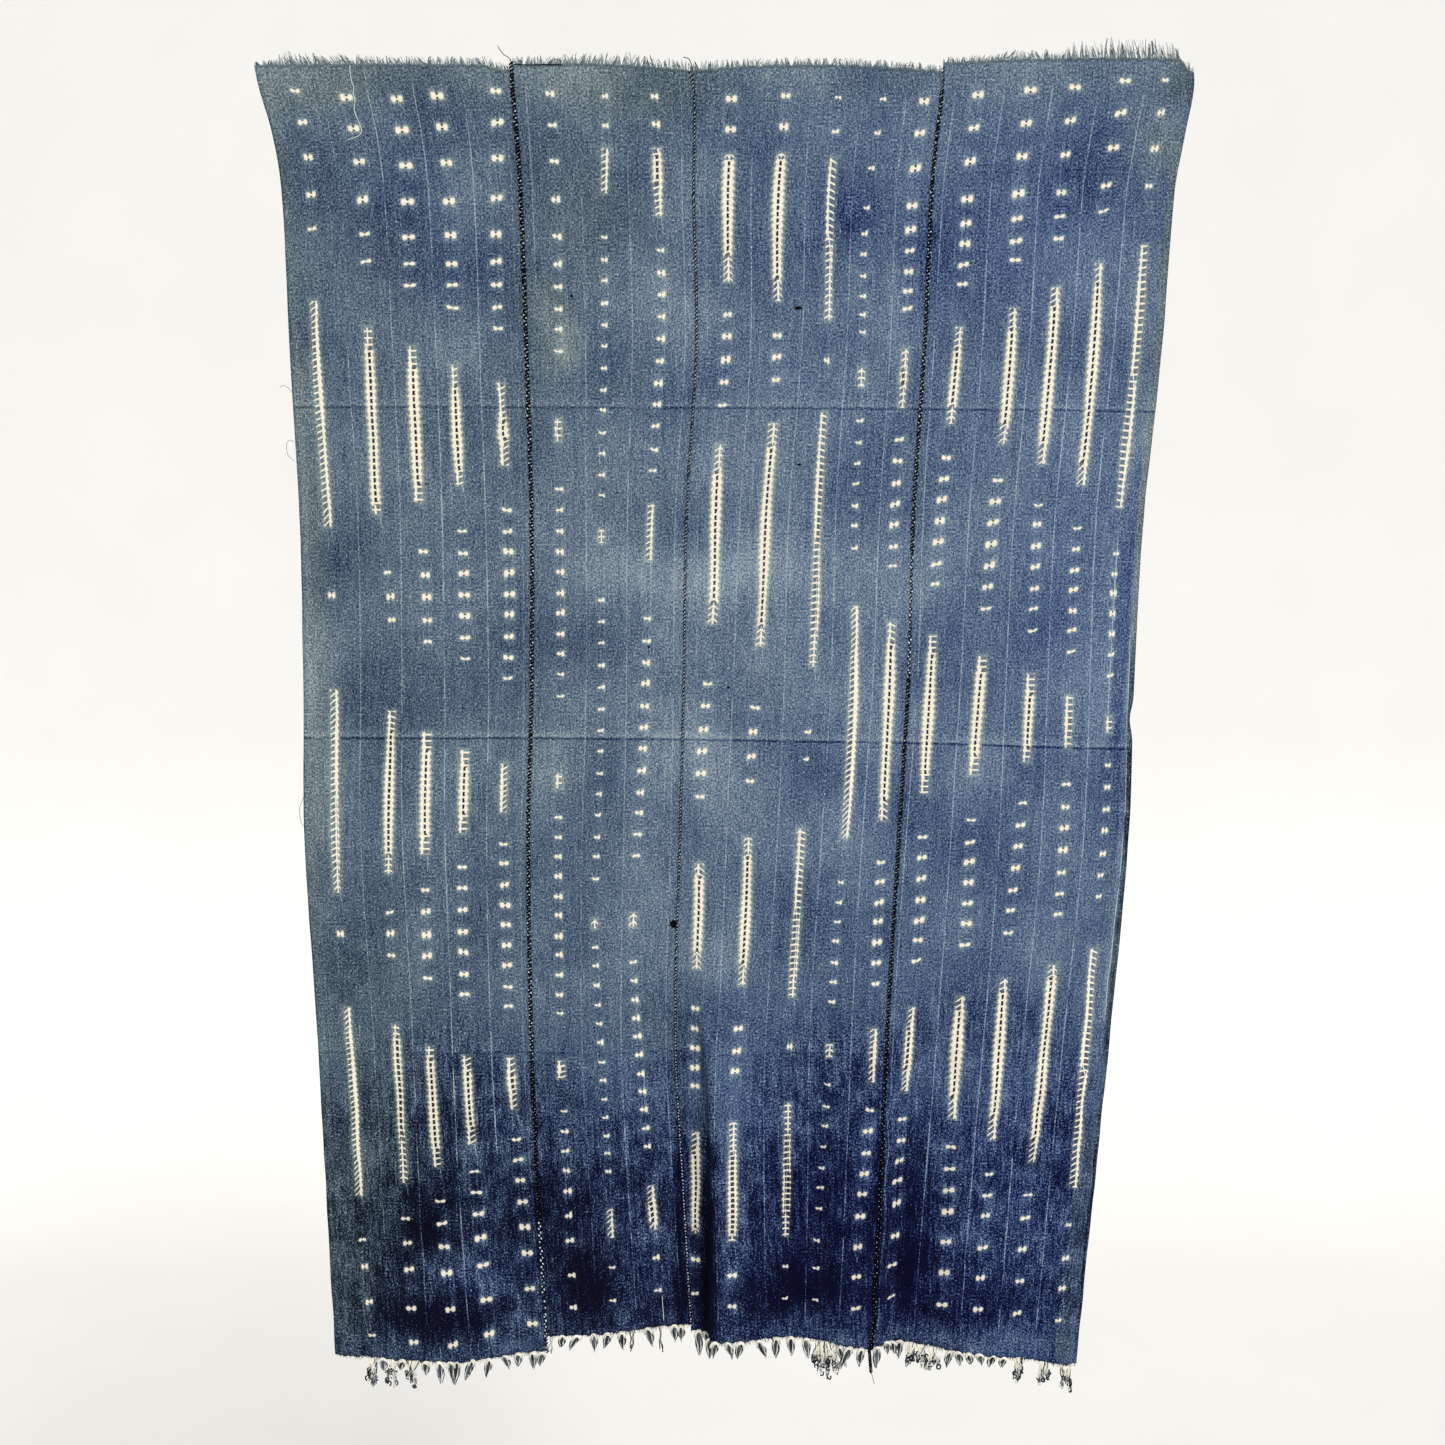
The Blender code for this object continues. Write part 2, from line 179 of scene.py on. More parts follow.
class Crease(NamedTuple):
    """A soft ridge along a line on the cloth, or a trough below zero, in millimetres."""

    across_from: float
    drop_from: float
    across_to: float
    drop_to: float
    half_width: float
    height: float


CREASES = tuple(
    Crease(*row)
    for row in (
        (-30, 1060, 20, 1190, 14, -2.2), (-10, 1130, 60, 1200, 16, 1.2), (-470, 1160, -330, 1150, 12, 0.9),
        (-430, 760, -250, 768, 10, 0.8), (-210, 1290, -110, 1240, 16, -1.1),
        (-180, 1410, -70, 1450, 14, 1), (60, 1180, 180, 1160, 13, -1), (70, 1330, 170, 1290, 18, 1.1),
        (260, 1250, 420, 1215, 15, -0.9), (250, 1430, 410, 1460, 18, 1.1),
        (-440, 1400, -300, 1440, 18, -1.1), (300, 385, 470, 376, 10, 0.7), (480, 600, 478, 1120, 5, 1.6),
    )
)


def eased(share: Array) -> Array:
    """Goes from 0 to 1 with level ends as its share does."""
    held = np.clip(share, 0.0, 1.0)
    return held * held * (3.0 - 2.0 * held)


def curve_through(places: Array, values: Array, at: Array) -> Array:
    """A smooth curve through values.

    Args:
        places: where the values lie, rising.
        values: the value at each place.
        at: the places that are asked for.

    Returns:
        The curve's value at each place asked for.
    """
    index = np.clip(np.searchsorted(places, at, side="left") - 1, 0, len(places) - 2)
    above = np.maximum(np.arange(len(places)) - 1, 0)
    below = np.minimum(np.arange(len(places)) + 1, len(places) - 1)
    slopes = (values[below] - values[above]) / (places[below] - places[above])
    span = places[index + 1] - places[index]
    share = np.clip((at - places[index]) / span, 0.0, 1.0)
    rest = 1.0 - share
    near = rest * rest * ((1.0 + 2.0 * share) * values[index] + share * span * slopes[index])
    far = share * share * ((3.0 - 2.0 * share) * values[index + 1] - rest * span * slopes[index + 1])
    return near + far


def unit(vectors: Array) -> Array:
    """Vectors of length 1 along the given ones."""
    return vectors / np.maximum(np.linalg.norm(vectors, axis=-1, keepdims=True), 1e-12)


class Hang:
    """The surface that the cloth hangs in, as the frame's solids have it, with its finer relief."""

    def __init__(self) -> None:
        """Lays out the levels and the small ripples."""
        self.drops = np.array([level.drop for level in LEVELS])
        self.lines = np.array([level[1:] for level in LEVELS])
        chance = np.random.default_rng(RIPPLE_SEED)
        self.ripples = [
            (
                0.5 * math.pi + chance.uniform(-1.1, 1.1),
                2.0 * math.pi / chance.uniform(0.035, 0.130),
                chance.uniform(0.0, 2.0 * math.pi),
            )
            for _ in range(14)
        ]

    def line(self, number: int, drop: Array) -> Array:
        """X of an edge or a seam: 0 is the left edge and 4 the right edge."""
        return curve_through(self.drops, self.lines[:, number], drop)

    def fold(self, fold: Fold, across: Array, drop: Array) -> Array:
        """How far one fold brings the cloth forward.

        Args:
            fold: the fold.
            across: x on the front view.
            drop: distance below the top edge.

        Returns:
            The distance at each place.
        """
        grown = eased((drop - fold.start) / (fold.full - fold.start))
        left = 1.0 - eased((drop - fold.gone) / (fold.full - fold.start))
        line = fold.across_start + (fold.across_hem - fold.across_start) * grown
        away = across - line
        width = np.where(away < 0.0, fold.left_width, fold.right_width)
        reach = np.minimum(1.0, np.abs(away) / width)
        return fold.height * grown * left * (1.0 - reach * reach) ** 2

    def forward(self, across: Array, drop: Array) -> Array:
        """How far the middle of the cloth lies in front of the plane that it hangs against.

        Args:
            across: x on the front view.
            drop: distance below the top edge.

        Returns:
            The distance at each place.
        """
        slope = HANG_FORWARD_HEM - HANG_FORWARD_TOP
        forward = HANG_FORWARD_TOP + slope * eased(drop / HANG_FORWARD_DROP)
        quarter = drop * STORED_QUARTERS / STORED_LENGTH
        zigzag = 2.0 * np.abs(2.0 * (0.5 * quarter - np.floor(0.5 * quarter + 0.5))) - 1.0
        forward = forward + STORED_KINK * zigzag * eased(quarter)
        forward = forward + sum(self.fold(fold, across, drop) for fold in FOLDS)
        rolled = eased((drop - EDGE_ROLL_START) / (EDGE_ROLL_FULL - EDGE_ROLL_START))
        turned = eased((across - self.line(4, drop) + EDGE_ROLL_WIDTH) / EDGE_ROLL_WIDTH)
        spare = forward - EDGE_ROLL_DEPTH * rolled * turned - WALL_CLEARANCE
        return WALL_CLEARANCE + 0.5 * (spare + np.hypot(spare, WALL_SOFTNESS))

    def point(self, across: Array, drop: Array) -> Array:
        """The middle of the cloth, without its finer relief."""
        leaning = sum(self.fold(fold, across, drop) for fold in FOLDS if fold.name == LEANING_FOLD)
        return np.stack([across - LEAN * leaning, -self.forward(across, drop), -drop], axis=-1)

    def facing(self, across: Array, drop: Array) -> Array:
        """Unit vectors out of the cloth's front face.

        Args:
            across: x on the front view.
            drop: distance below the top edge.

        Returns:
            One vector for each place.
        """
        step = DIFFERENCE_STEP
        along = self.point(across + step, drop) - self.point(across - step, drop)
        down = self.point(across, drop + step) - self.point(across, drop - step)
        return unit(np.cross(down, along))

    def relief(self, across: Array, drop: Array) -> Array:
        """The finer relief, out of the front face: creases, ripples and pulled-in seams.

        Args:
            across: x on the front view.
            drop: distance below the top edge.

        Returns:
            Its height at each place.
        """
        total = np.zeros_like(across)
        for crease in CREASES:
            start = np.array([crease.across_from, crease.drop_from]) * MM
            along = np.array([crease.across_to, crease.drop_to]) * MM - start
            length = float(np.hypot(*along))
            share = ((across - start[0]) * along[0] + (drop - start[1]) * along[1]) / length**2
            away = ((across - start[0]) * along[1] - (drop - start[1]) * along[0]) / length
            ends = eased(share * 4.0) * eased((1.0 - share) * 4.0)
            total = total + crease.height * MM * ends * np.exp(-((away / (crease.half_width * MM)) ** 2))
        soft = 0.00012 + 0.00022 * eased((drop - 0.9) / 0.4)
        waves = sum(
            np.sin(rate * (across * math.cos(turn) + drop * math.sin(turn)) + start)
            for turn, rate, start in self.ripples
        )
        total = total + soft * waves
        for number in (1, 2, 3):
            away = np.abs(across - self.line(number, drop))
            pulled = 0.0005 * np.exp(-((away / 0.004) ** 2))
            scallop = 0.7 + 0.3 * np.sin(2.0 * math.pi * drop / 0.011 + number)
            total = total + pulled * scallop
        return total * eased(drop / 0.05)

    def on_cloth(self, across: Array, drop: Array, above: Array | float = 0.0) -> Array:
        """Points over the cloth's front face.

        Args:
            across: x on the front view.
            drop: distance below the top edge.
            above: how far over the front face the points lie.

        Returns:
            The points, one row each.
        """
        across, drop = np.broadcast_arrays(np.asarray(across, float), np.asarray(drop, float))
        lift = self.relief(across, drop) + 0.5 * CLOTH_THICKNESS + above
        return self.point(across, drop) + self.facing(across, drop) * np.asarray(lift)[..., None]

    def top(self, strip: Strip, share: Array) -> Array:
        """Drop of a strip's top edge, with the last strip's worn corner.

        Args:
            strip: the woven strip.
            share: share of its width.

        Returns:
            The drop at each share.
        """
        bow = strip.top_middle - 0.5 * (strip.top_left + strip.top_right)
        line = strip.top_left + (strip.top_right - strip.top_left) * share
        drop = -(line + 4.0 * bow * share * (1.0 - share))
        if strip.number == len(STRIPS):
            drop = drop + CORNER_DROP * eased((share - 1.0 + CORNER_SHARE) / CORNER_SHARE)
        if strip.number == 1:
            drop = drop + WORN_DROP * eased((share - 1.0 + WORN_SHARE) / WORN_SHARE)
        ragged = np.sin(share * 61.0 + strip.number) + np.sin(share * 143.0 + 2.0 * strip.number)
        return drop + 0.0004 * ragged

    def hem(self, strip: Strip, share: Array) -> Array:
        """Drop of a strip's hem.

        Args:
            strip: the woven strip.
            share: share of its width.

        Returns:
            The drop at each share.
        """
        bow = strip.hem_middle - 0.5 * (strip.hem_left + strip.hem_right)
        line = strip.hem_left + (strip.hem_right - strip.hem_left) * share
        line = line + 4.0 * bow * share * (1.0 - share)
        across = share * strip.woven_width
        scallop = np.abs(np.sin(across * 2.0 * math.pi / 0.036 + strip.number))
        return line - 0.0016 * scallop + 0.0005 * np.sin(across * 2.0 * math.pi / 0.0061)

    def across(self, strip: Strip, share: Array, drop: Array) -> Array:
        """X of a share of a strip's width at one drop.

        Args:
            strip: the woven strip.
            share: share of its width.
            drop: distance below the top edge.

        Returns:
            The x of each place.
        """
        left = self.line(strip.number - 1, drop) + 0.5 * PIECE_GAP
        right = self.line(strip.number, drop) - 0.5 * PIECE_GAP
        place = left + (right - left) * share
        if strip.number == len(STRIPS):
            dip = np.exp(-(((drop - FOLDED_EDGE_DROP) / FOLDED_EDGE_REACH) ** 2))
            near_edge = eased((share - FOLDED_EDGE_SHARE) / (1.0 - FOLDED_EDGE_SHARE))
            place = place - FOLDED_EDGE_DEPTH * dip * near_edge
        return place


COLUMN_DROPS = (0.04, 0.20, 0.40, 0.50, 0.60, 0.80, 1.00, 1.20, 1.40, 1.50)
# Each column's share of its strip's width, in thousandths, at those drops.
COLUMN_SHARES = {
    1: (140, 115, 114, 122, 130, 139, 138, 156, 159, 180),
    2: (338, 338, 337, 337, 390, 385, 371, 375, 374, 377),
    3: (537, 522, 518, 521, 546, 544, 535, 528, 548, 563),
    4: (699, 699, 692, 700, 707, 713, 700, 696, 720, 732),
    5: (934, 887, 889, 895, 902, 887, 896, 901, 930, 937),
    6: (204, 200, 179, 181, 184, 194, 201, 206, 203, 200),
    7: (508, 473, 451, 452, 452, 462, 447, 494, 488, 470),
    8: (783, 800, 778, 768, 758, 738, 703, 760, 788, 788),
    9: (151, 140, 127, 128, 128, 87, 98, 89, 52, 29),
    10: (371, 351, 357, 350, 344, 311, 315, 296, 270, 258),
    11: (583, 574, 575, 577, 578, 557, 550, 540, 527, 521),
    12: (764, 722, 737, 740, 753, 760, 738, 727, 690, 690),
    13: (932, 919, 917, 917, 917, 920, 929, 936, 900, 904),
    14: (144, 148, 130, 116, 103, 95, 111, 97, 86, 87),
    15: (351, 360, 362, 347, 331, 305, 316, 314, 325, 329),
    16: (527, 535, 532, 534, 535, 528, 498, 500, 494, 496),
    17: (725, 711, 715, 711, 707, 707, 708, 701, 682, 686),
    18: (885, 893, 891, 887, 883, 889, 880, 885, 886, 882),
}
FIRST_COLUMNS = (1, 6, 9, 14)
STRIP_OF_COLUMN = {column: sum(column >= first for first in FIRST_COLUMNS) for column in COLUMN_SHARES}


class Bar(NamedTuple):
    """A stitched bar, in millimetres: its ends, half width, open rungs at its ends, and their spine.

    The spine is -1 where it runs along the left of the rungs and 1 along the right; the slant is how
    far the rungs fall away from it; body is 1 for solid white and 0 for open rungs all the way.
    """

    column: int
    top: float
    bottom: float
    half: float
    top_rungs: float
    bottom_rungs: float
    top_spine: float
    bottom_spine: float
    slant: float
    body: float


BARS = tuple(
    Bar(*row)
    for row in (
        (1, 259, 515, 5.2, 30, 20, 1, 0.8, 0.5, 0.1), (1, 707, 952, 5.2, 50, 30, 1, 0.4, 0.5, 0.1),
        (1, 1095, 1336, 5.2, 30, 50, 1, 1, 0.6, 0.15), (2, 289, 501, 5.6, 24, 12, -0.4, -0.3, 0, 0.95),
        (2, 732, 928, 5.6, 22, 24, -0.7, 0, 0.2, 0.95), (2, 1115, 1318, 5, 16, 60, -0.4, -0.2, 0.2, 0.8),
        (3, 310, 486, 6, 22, 18, -0.8, -0.8, 0, 0.98), (3, 757, 904, 6.2, 20, 20, -0.8, -0.8, 0, 1),
        (3, 1142, 1297, 5.6, 16, 22, -0.4, -0.8, -0.1, 0.95),
        (4, 331, 467, 5.2, 22, 14, -0.9, -0.9, -0.2, 0.98), (4, 779, 879, 5.8, 18, 20, -0.9, -0.9, 0, 1),
        (4, 1155, 1268, 5.6, 18, 20, -0.9, -0.9, -0.3, 0.95), (5, 351, 445, 5.6, 40, 28, -1, -1, -0.3, 1),
        (5, 796, 854, 5, 26, 24, -1, -1, -0.4, 0.55), (5, 1159, 1226, 5.4, 18, 24, -0.6, -1, -0.3, 0.8),
        (6, 392, 417, 4.6, 9, 9, -0.4, -0.4, 0, 0.35), (6, 808, 825, 4.6, 8, 8, -0.6, -0.6, 0, 0.35),
        (6, 1161, 1182, 5.2, 8, 8, -0.9, -0.9, -0.2, 0.25), (7, 91, 139, 4.4, 24, 24, 1, 1, 0.3, 0),
        (7, 519, 534, 4.6, 8, 8, 0, 0, 0.3, 0.2), (7, 984, 995, 4.6, 6, 6, 0, 0, 0.4, 0.2),
        (7, 1352, 1390, 4.8, 18, 18, 0.9, 0.9, 0.6, 0.1), (8, 90, 164, 5, 8, 34, 0.5, 0.6, 0.2, 0.9),
        (8, 490, 554, 4.8, 30, 30, 0.8, 0.8, 0.3, 0.3), (8, 978, 994, 4.6, 8, 8, 0.2, 0.2, 0.5, 0.2),
        (8, 1325, 1383, 5.2, 22, 8, 1, 0.5, 0.5, 0.8), (9, 97, 237, 6, 5, 30, 0, 0.2, 0.5, 1),
        (9, 421, 629, 5.8, 30, 26, 0.4, 0, 0.4, 0.98), (9, 917, 1047, 5.8, 16, 20, -0.3, 0, 0.5, 1),
        (9, 1257, 1390, 5.6, 26, 6, 1, 0, 0.4, 1), (10, 96, 259, 6, 6, 24, 0, 0.3, 0.5, 0.98),
        (10, 397, 655, 5.8, 26, 24, 0.3, 0.2, 0.4, 0.98),
        (10, 885, 1066, 5.6, 22, 24, 0.2, 0.4, 0.5, 0.95), (10, 1234, 1388, 5.4, 40, 8, 0.3, 0, 0.3, 0.75),
        (11, 101, 280, 4.8, 90, 60, -0.8, 0.4, 0.3, 0.2), (11, 385, 679, 4.8, 60, 40, -0.8, 0.3, 0.2, 0.4),
        (11, 874, 1081, 4.8, 60, 30, -0.6, 0.3, 0.2, 0.3),
        (11, 1217, 1392, 4.8, 40, 30, 0.2, -0.2, 0.1, 0.45), (12, 334, 355, 4.2, 8, 8, 0, 0, 0.3, 0.2),
        (12, 608, 885, 5.4, 60, 60, 1, 0.8, 0.6, 0.45), (12, 1140, 1157, 4.4, 7, 7, 0.2, 0.2, 0.4, 0.2),
        (13, 313, 379, 4.6, 24, 24, 0.4, 0.4, 0.4, 0.75),
        (13, 627, 864, 5.8, 24, 22, -0.5, -0.5, 0.3, 0.98), (13, 1120, 1186, 5, 22, 24, 1, 1, 0.5, 0.5),
        (14, 288, 397, 5.2, 24, 20, 0.5, 0.2, 0.4, 0.95), (14, 643, 831, 5.8, 20, 20, -0.9, -0.9, 0, 1),
        (14, 1096, 1203, 5.2, 24, 26, 1, 1, 0.5, 0.85), (15, 267, 420, 5.8, 22, 20, 0.6, 0.4, 0.4, 1),
        (15, 667, 809, 6, 18, 20, -0.9, -0.9, 0, 1), (15, 1080, 1235, 6.2, 16, 26, 0.6, 1, 0.5, 1),
        (16, 244, 443, 5.8, 20, 22, 0.5, 0.6, 0.4, 1), (16, 688, 793, 5.4, 22, 16, -0.9, -0.9, 0, 0.98),
        (16, 1058, 1262, 6, 14, 28, 0.5, 0.9, 0.4, 1), (17, 217, 467, 5.6, 20, 24, 0.6, 0.8, 0.5, 0.98),
        (17, 714, 776, 4.6, 24, 24, -0.8, -0.8, 0, 0.4), (17, 1041, 1293, 5.8, 16, 30, 0.4, 0.9, 0.5, 1),
        (18, 197, 493, 5.2, 40, 40, -0.8, 0.6, -0.1, 0.15), (18, 739, 758, 4, 8, 8, -0.6, -0.6, 0, 0.2),
        (18, 1021, 1323, 5.2, 40, 50, -0.8, 0.8, 0.3, 0.25),
    )
)


class SpotRow(NamedTuple):
    """A run of paired spots down one column, in millimetres: its first and last drop and its count.

    The widest spots have the given half width; those at a thin end are thin strokes.
    """

    column: int
    first: float
    last: float
    count: int
    half: float
    thin_first: float
    thin_last: float


SPOT_ROWS = tuple(
    SpotRow(*row)
    for row in (
        (1, 28, 179, 5, 6.5, 0.8, 0.8), (1, 595, 595, 1, 5, 0.7, 0.7), (1, 1002, 1002, 1, 5, 0.8, 0.8),
        (1, 1395, 1523, 4, 6, 0.7, 0.7), (2, 34, 214, 6, 8.2, 0, 0.8), (2, 569, 624, 3, 6, 0.8, 0.6),
        (2, 975, 1028, 3, 6, 0.7, 0.7), (2, 1365, 1529, 5, 7.6, 0.6, 0.2), (3, 37, 242, 7, 8.8, 0, 0.9),
        (3, 545, 650, 5, 7, 0.8, 0.8), (3, 948, 1057, 5, 7, 0.9, 0.7), (3, 1341, 1531, 6, 8, 0.8, 0),
        (4, 33, 267, 8, 8.6, 0, 0.9), (4, 520, 670, 7, 7.6, 0.9, 0.8), (4, 921, 1078, 7, 7.6, 0.9, 0.8),
        (4, 1305, 1520, 7, 8.4, 0.9, 0), (5, 27, 289, 9, 7.8, 0, 0.9), (5, 495, 692, 9, 7.4, 0.8, 0.9),
        (5, 892, 1093, 9, 7.4, 0.9, 0.8), (5, 1264, 1508, 8, 8, 0.8, 0.1), (6, 31, 314, 10, 6.8, 0.4, 0.8),
        (6, 472, 713, 11, 6.6, 0.7, 0.9), (6, 860, 1101, 11, 6.4, 0.7, 0.9),
        (6, 1225, 1484, 9, 6.8, 0.8, 0.2), (7, 33, 66, 2, 5.2, 0.7, 0.7), (7, 188, 479, 13, 5.6, 0.8, 0.9),
        (7, 601, 934, 14, 5.6, 0.8, 0.8), (7, 1018, 1303, 13, 5.6, 0.9, 0.7),
        (7, 1429, 1474, 2, 6, 0.4, 0.6), (8, 34, 65, 2, 6, 0.3, 0.2), (8, 202, 450, 11, 6.4, 0.5, 0.8),
        (8, 622, 907, 12, 6.6, 0.6, 0.7), (8, 1037, 1273, 11, 6.6, 0.7, 0.4),
        (8, 1421, 1464, 2, 6.6, 0.3, 0.5), (9, 36, 70, 2, 7.6, 0, 0), (9, 274, 376, 5, 6.4, 0.2, 0.7),
        (9, 699, 836, 6, 7.4, 0.8, 0.6), (9, 1097, 1196, 5, 7, 0.6, 0.2),
        (9, 1425, 1468, 2, 6.6, 0.3, 0.6), (10, 33, 66, 2, 6.8, 0.2, 0), (10, 297, 348, 3, 6, 0.4, 0.7),
        (10, 727, 815, 4, 6.6, 0.8, 0.7), (10, 1119, 1172, 3, 6.4, 0.4, 0.2),
        (10, 1432, 1474, 2, 7, 0.2, 0.5), (11, 36, 71, 2, 5.6, 0.7, 0.5), (11, 326, 326, 1, 4, 0.7, 0.7),
        (11, 757, 790, 2, 5.6, 0.5, 0.7), (11, 1143, 1143, 1, 5, 0.4, 0.4),
        (11, 1432, 1474, 2, 5.6, 0.6, 0.8), (12, 38, 293, 10, 5.6, 0.7, 0.7),
        (12, 394, 539, 7, 5.8, 0.8, 0.8), (12, 938, 1087, 7, 5.6, 0.7, 0.7),
        (12, 1192, 1476, 10, 5.8, 0.8, 0.8), (13, 40, 267, 9, 7, 0.3, 0.5),
        (13, 416, 562, 7, 6.8, 0.7, 0.9), (13, 914, 1063, 7, 6.8, 0.8, 0.7),
        (13, 1222, 1480, 9, 7, 0.6, 0.2), (14, 33, 240, 8, 7.8, 0.2, 0.8),
        (14, 435, 583, 7, 7.4, 0.7, 0.9), (14, 885, 1037, 7, 7.4, 0.8, 0.8),
        (14, 1240, 1474, 8, 7, 0.7, 0.9), (15, 28, 213, 7, 8.2, 0, 0.6), (15, 461, 611, 7, 7.8, 0.8, 0.9),
        (15, 864, 1016, 7, 7.8, 0.9, 0.7), (15, 1273, 1480, 7, 8, 0.7, 0), (16, 25, 189, 6, 8, 0, 0.6),
        (16, 489, 635, 7, 7.6, 0.8, 0.9), (16, 843, 999, 7, 7.6, 0.9, 0.7), (16, 1305, 1484, 6, 8, 0.7, 0),
        (17, 18, 159, 5, 8, 0, 0.6), (17, 517, 661, 7, 7, 0.8, 0.9), (17, 820, 979, 7, 7, 0.8, 0.7),
        (17, 1336, 1492, 5, 8, 0.7, 0), (18, 17, 132, 4, 5.4, 0.4, 0.6), (18, 546, 689, 7, 5.4, 0.6, 0.8),
        (18, 798, 957, 7, 5.4, 0.7, 0.7), (18, 1374, 1501, 4, 5.4, 0.6, 0.5),
    )
)


class PaleYarn(NamedTuple):
    """A warp yarn that took little dye: its share of the strip's width at the top and the hem."""

    strip: int
    share_top: float
    share_bottom: float
    first: float
    last: float
    strength: float


PALE_YARNS = tuple(
    PaleYarn(*row)
    for row in (
        (1, 0.24, 0.26, 0, 0.115, 0.6), (1, 0.24, 0.27, 0.3, 1.55, 0.7), (1, 0.43, 0.45, 0, 1.52, 0.8),
        (1, 0.61, 0.64, 0, 1.55, 1), (1, 0.8, 0.82, 0.04, 1.3, 0.9), (1, 0.96, 0.97, 0.06, 1.54, 0.4),
        (1, 0.05, 0.06, 0.75, 1.4, 0.3), (2, 0.07, 0.08, 0.01, 0.26, 0.6),
        (2, 0.35, 0.36, 0.12, 1.51, 0.5), (2, 0.62, 0.63, 0.08, 1.51, 0.7), (2, 0.93, 0.94, 0, 1.48, 0.6),
        (2, 0.89, 0.9, 0.6, 1, 0.3), (3, 0.05, 0.05, 0.03, 0.7, 0.3), (3, 0.25, 0.19, 0.09, 1.52, 0.7),
        (3, 0.47, 0.42, 0.04, 1.5, 0.7), (3, 0.67, 0.63, 0.06, 1.52, 0.7), (3, 0.86, 0.82, 0.02, 1.5, 0.8),
        (4, 0.05, 0.02, 0.03, 1.54, 0.8), (4, 0.25, 0.21, 0.02, 1.53, 0.9),
        (4, 0.44, 0.42, 0.01, 1.54, 0.9), (4, 0.62, 0.6, 0.02, 1.54, 0.9), (4, 0.8, 0.78, 0.01, 1.54, 0.9),
        (4, 0.888, 0.886, 0.508, 0.77, 1.3), (4, 0.967, 0.966, 0.64, 1.12, 1.5),
    )
)


class Cloud(NamedTuple):
    """A soft patch of deeper or greyer dye, or paler or bluer below zero; places in millimetres. A few are
    painted shade in fold hollows, beside the deep fold's ridge and beside seam 2.
    """

    across: float
    drop: float
    half_width: float
    half_height: float
    deeper: float
    greyer: float


CLOUDS = tuple(
    Cloud(*row)
    for row in (
        (-210, 263, 20, 23, -0.16, 0.7), (-187, 305, 18, 28, -0.22, 0.7), (-3, 571, 70, 35, -0.2, 0),
        (-97, 571, 60, 28, -0.14, 0), (50, 554, 45, 36, -0.15, 0), (-18, 803, 30, 55, -0.18, 0),
        (-193, 797, 40, 45, -0.13, 0.1), (-99, 840, 35, 75, -0.09, 0), (-26, 291, 80, 75, -0.06, 0),
        (400, 601, 60, 150, -0.05, -0.2), (-489, 601, 18, 300, -0.12, 0.5),
        (-119, 473, 50, 50, -0.07, 0.1), (490, 347, 14, 160, -0.1, 0.2), (-428, 1278, 40, 45, -0.18, 0.1),
        (16, 1330, 16, 130, -0.24, 0), (290, 1395, 35, 32, -0.16, 0), (-316, 1440, 50, 28, -0.15, -0.2),
        (-89, 1124, 40, 40, -0.1, 0.2), (162, 589, 40, 80, -0.07, 0), (-222, 335, 25, 70, 0.09, 0.2),
        (-431, 707, 32, 50, 0.14, 0), (-430, 530, 40, 50, 0.07, 0), (-205, 648, 60, 30, 0.1, 0),
        (-389, 937, 60, 36, 0.11, 0), (140, 163, 30, 36, 0.12, -0.3), (232, 213, 18, 75, 0.1, -0.2),
        (131, 1099, 35, 70, 0.12, 0), (150, 1175, 50, 30, 0.1, 0), (-372, 1365, 34, 50, 0.4, 0),
        (-300, 1252, 45, 30, 0.16, 0), (-362, 1498, 52, 28, 0.44, 0), (-172, 1461, 26, 45, 0.44, 0.2),
        # (234, 1410) is deeper dye with painted shade in the hollow right of seam 3.
        (97, 1461, 60, 36, 0.46, 0), (121, 1342, 50, 60, 0.22, -0.2), (234, 1410, 18, 110, 0.34, 0),
        # (-22, 1435) is painted shade in the hollow left of the deep fold.
        (-22, 1435, 12, 100, 0.26, 0.3), (-220, 1342, 60, 36, 0.16, 0), (348, 1475, 60, 24, 0.12, -0.2),
        (-476, 22, 60, 20, 0.01, 0.5), (-93, 30, 60, 30, 0, 0.5), (500, 85, 30, 30, -0.1, 0.6),
        (-473, 1450, 30, 100, -0.12, 0.5), (300, 1530, 160, 18, -0.1, 0.2), (424, 1460, 30, 80, 0.02, 0),
        # (-14, 1410) is the painted shadow band beside the deep fold's ridge.
        (463, 1210, 16, 200, -0.08, 0.2), (-160, 160, 60, 80, -0.04, 0.3), (-14, 1410, 9, 130, 0.45, 0.2),
        # (-55, 1390) is painted shade left of seam 2.
        (-55, 1390, 6, 150, 0.45, 0), (190, 1400, 10, 160, 0.22, -0.2), (522, 20, 22, 18, 0.12, 0.6),
        (-370, 120, 70, 60, 0.07, -0.2), (-300, 210, 60, 60, 0.06, -0.2), (350, 190, 90, 80, 0.05, -0.2),
        (15, 330, 60, 40, 0.05, -0.1), (-440, 1260, 70, 190, -0.02, 0.45),
        (400, 1400, 90, 100, -0.09, -0.1), (-470, 1390, 30, 100, -0.08, 0), (420, 660, 100, 190, 0.04, 0),
        (-470, 310, 40, 50, 0.08, 0), (40, 310, 50, 40, -0.08, 0), (-50, 1040, 60, 40, -0.2, 0),
        (-140, 770, 60, 35, 0.07, 0), (330, 860, 50, 50, 0.08, 0), (230, 1130, 50, 40, 0.16, 0),
        (50, 740, 80, 60, -0.09, 0), (-170, 860, 50, 30, -0.07, 0), (440, 780, 30, 50, -0.07, 0),
        (-60, 660, 90, 40, -0.05, 0), (80, 1040, 40, 40, 0.05, 0), (-390, 1230, 60, 30, 0.08, 0),
        (-360, 1140, 50, 50, 0.06, 0), (-300, 620, 50, 60, 0.04, 0),
    )
)
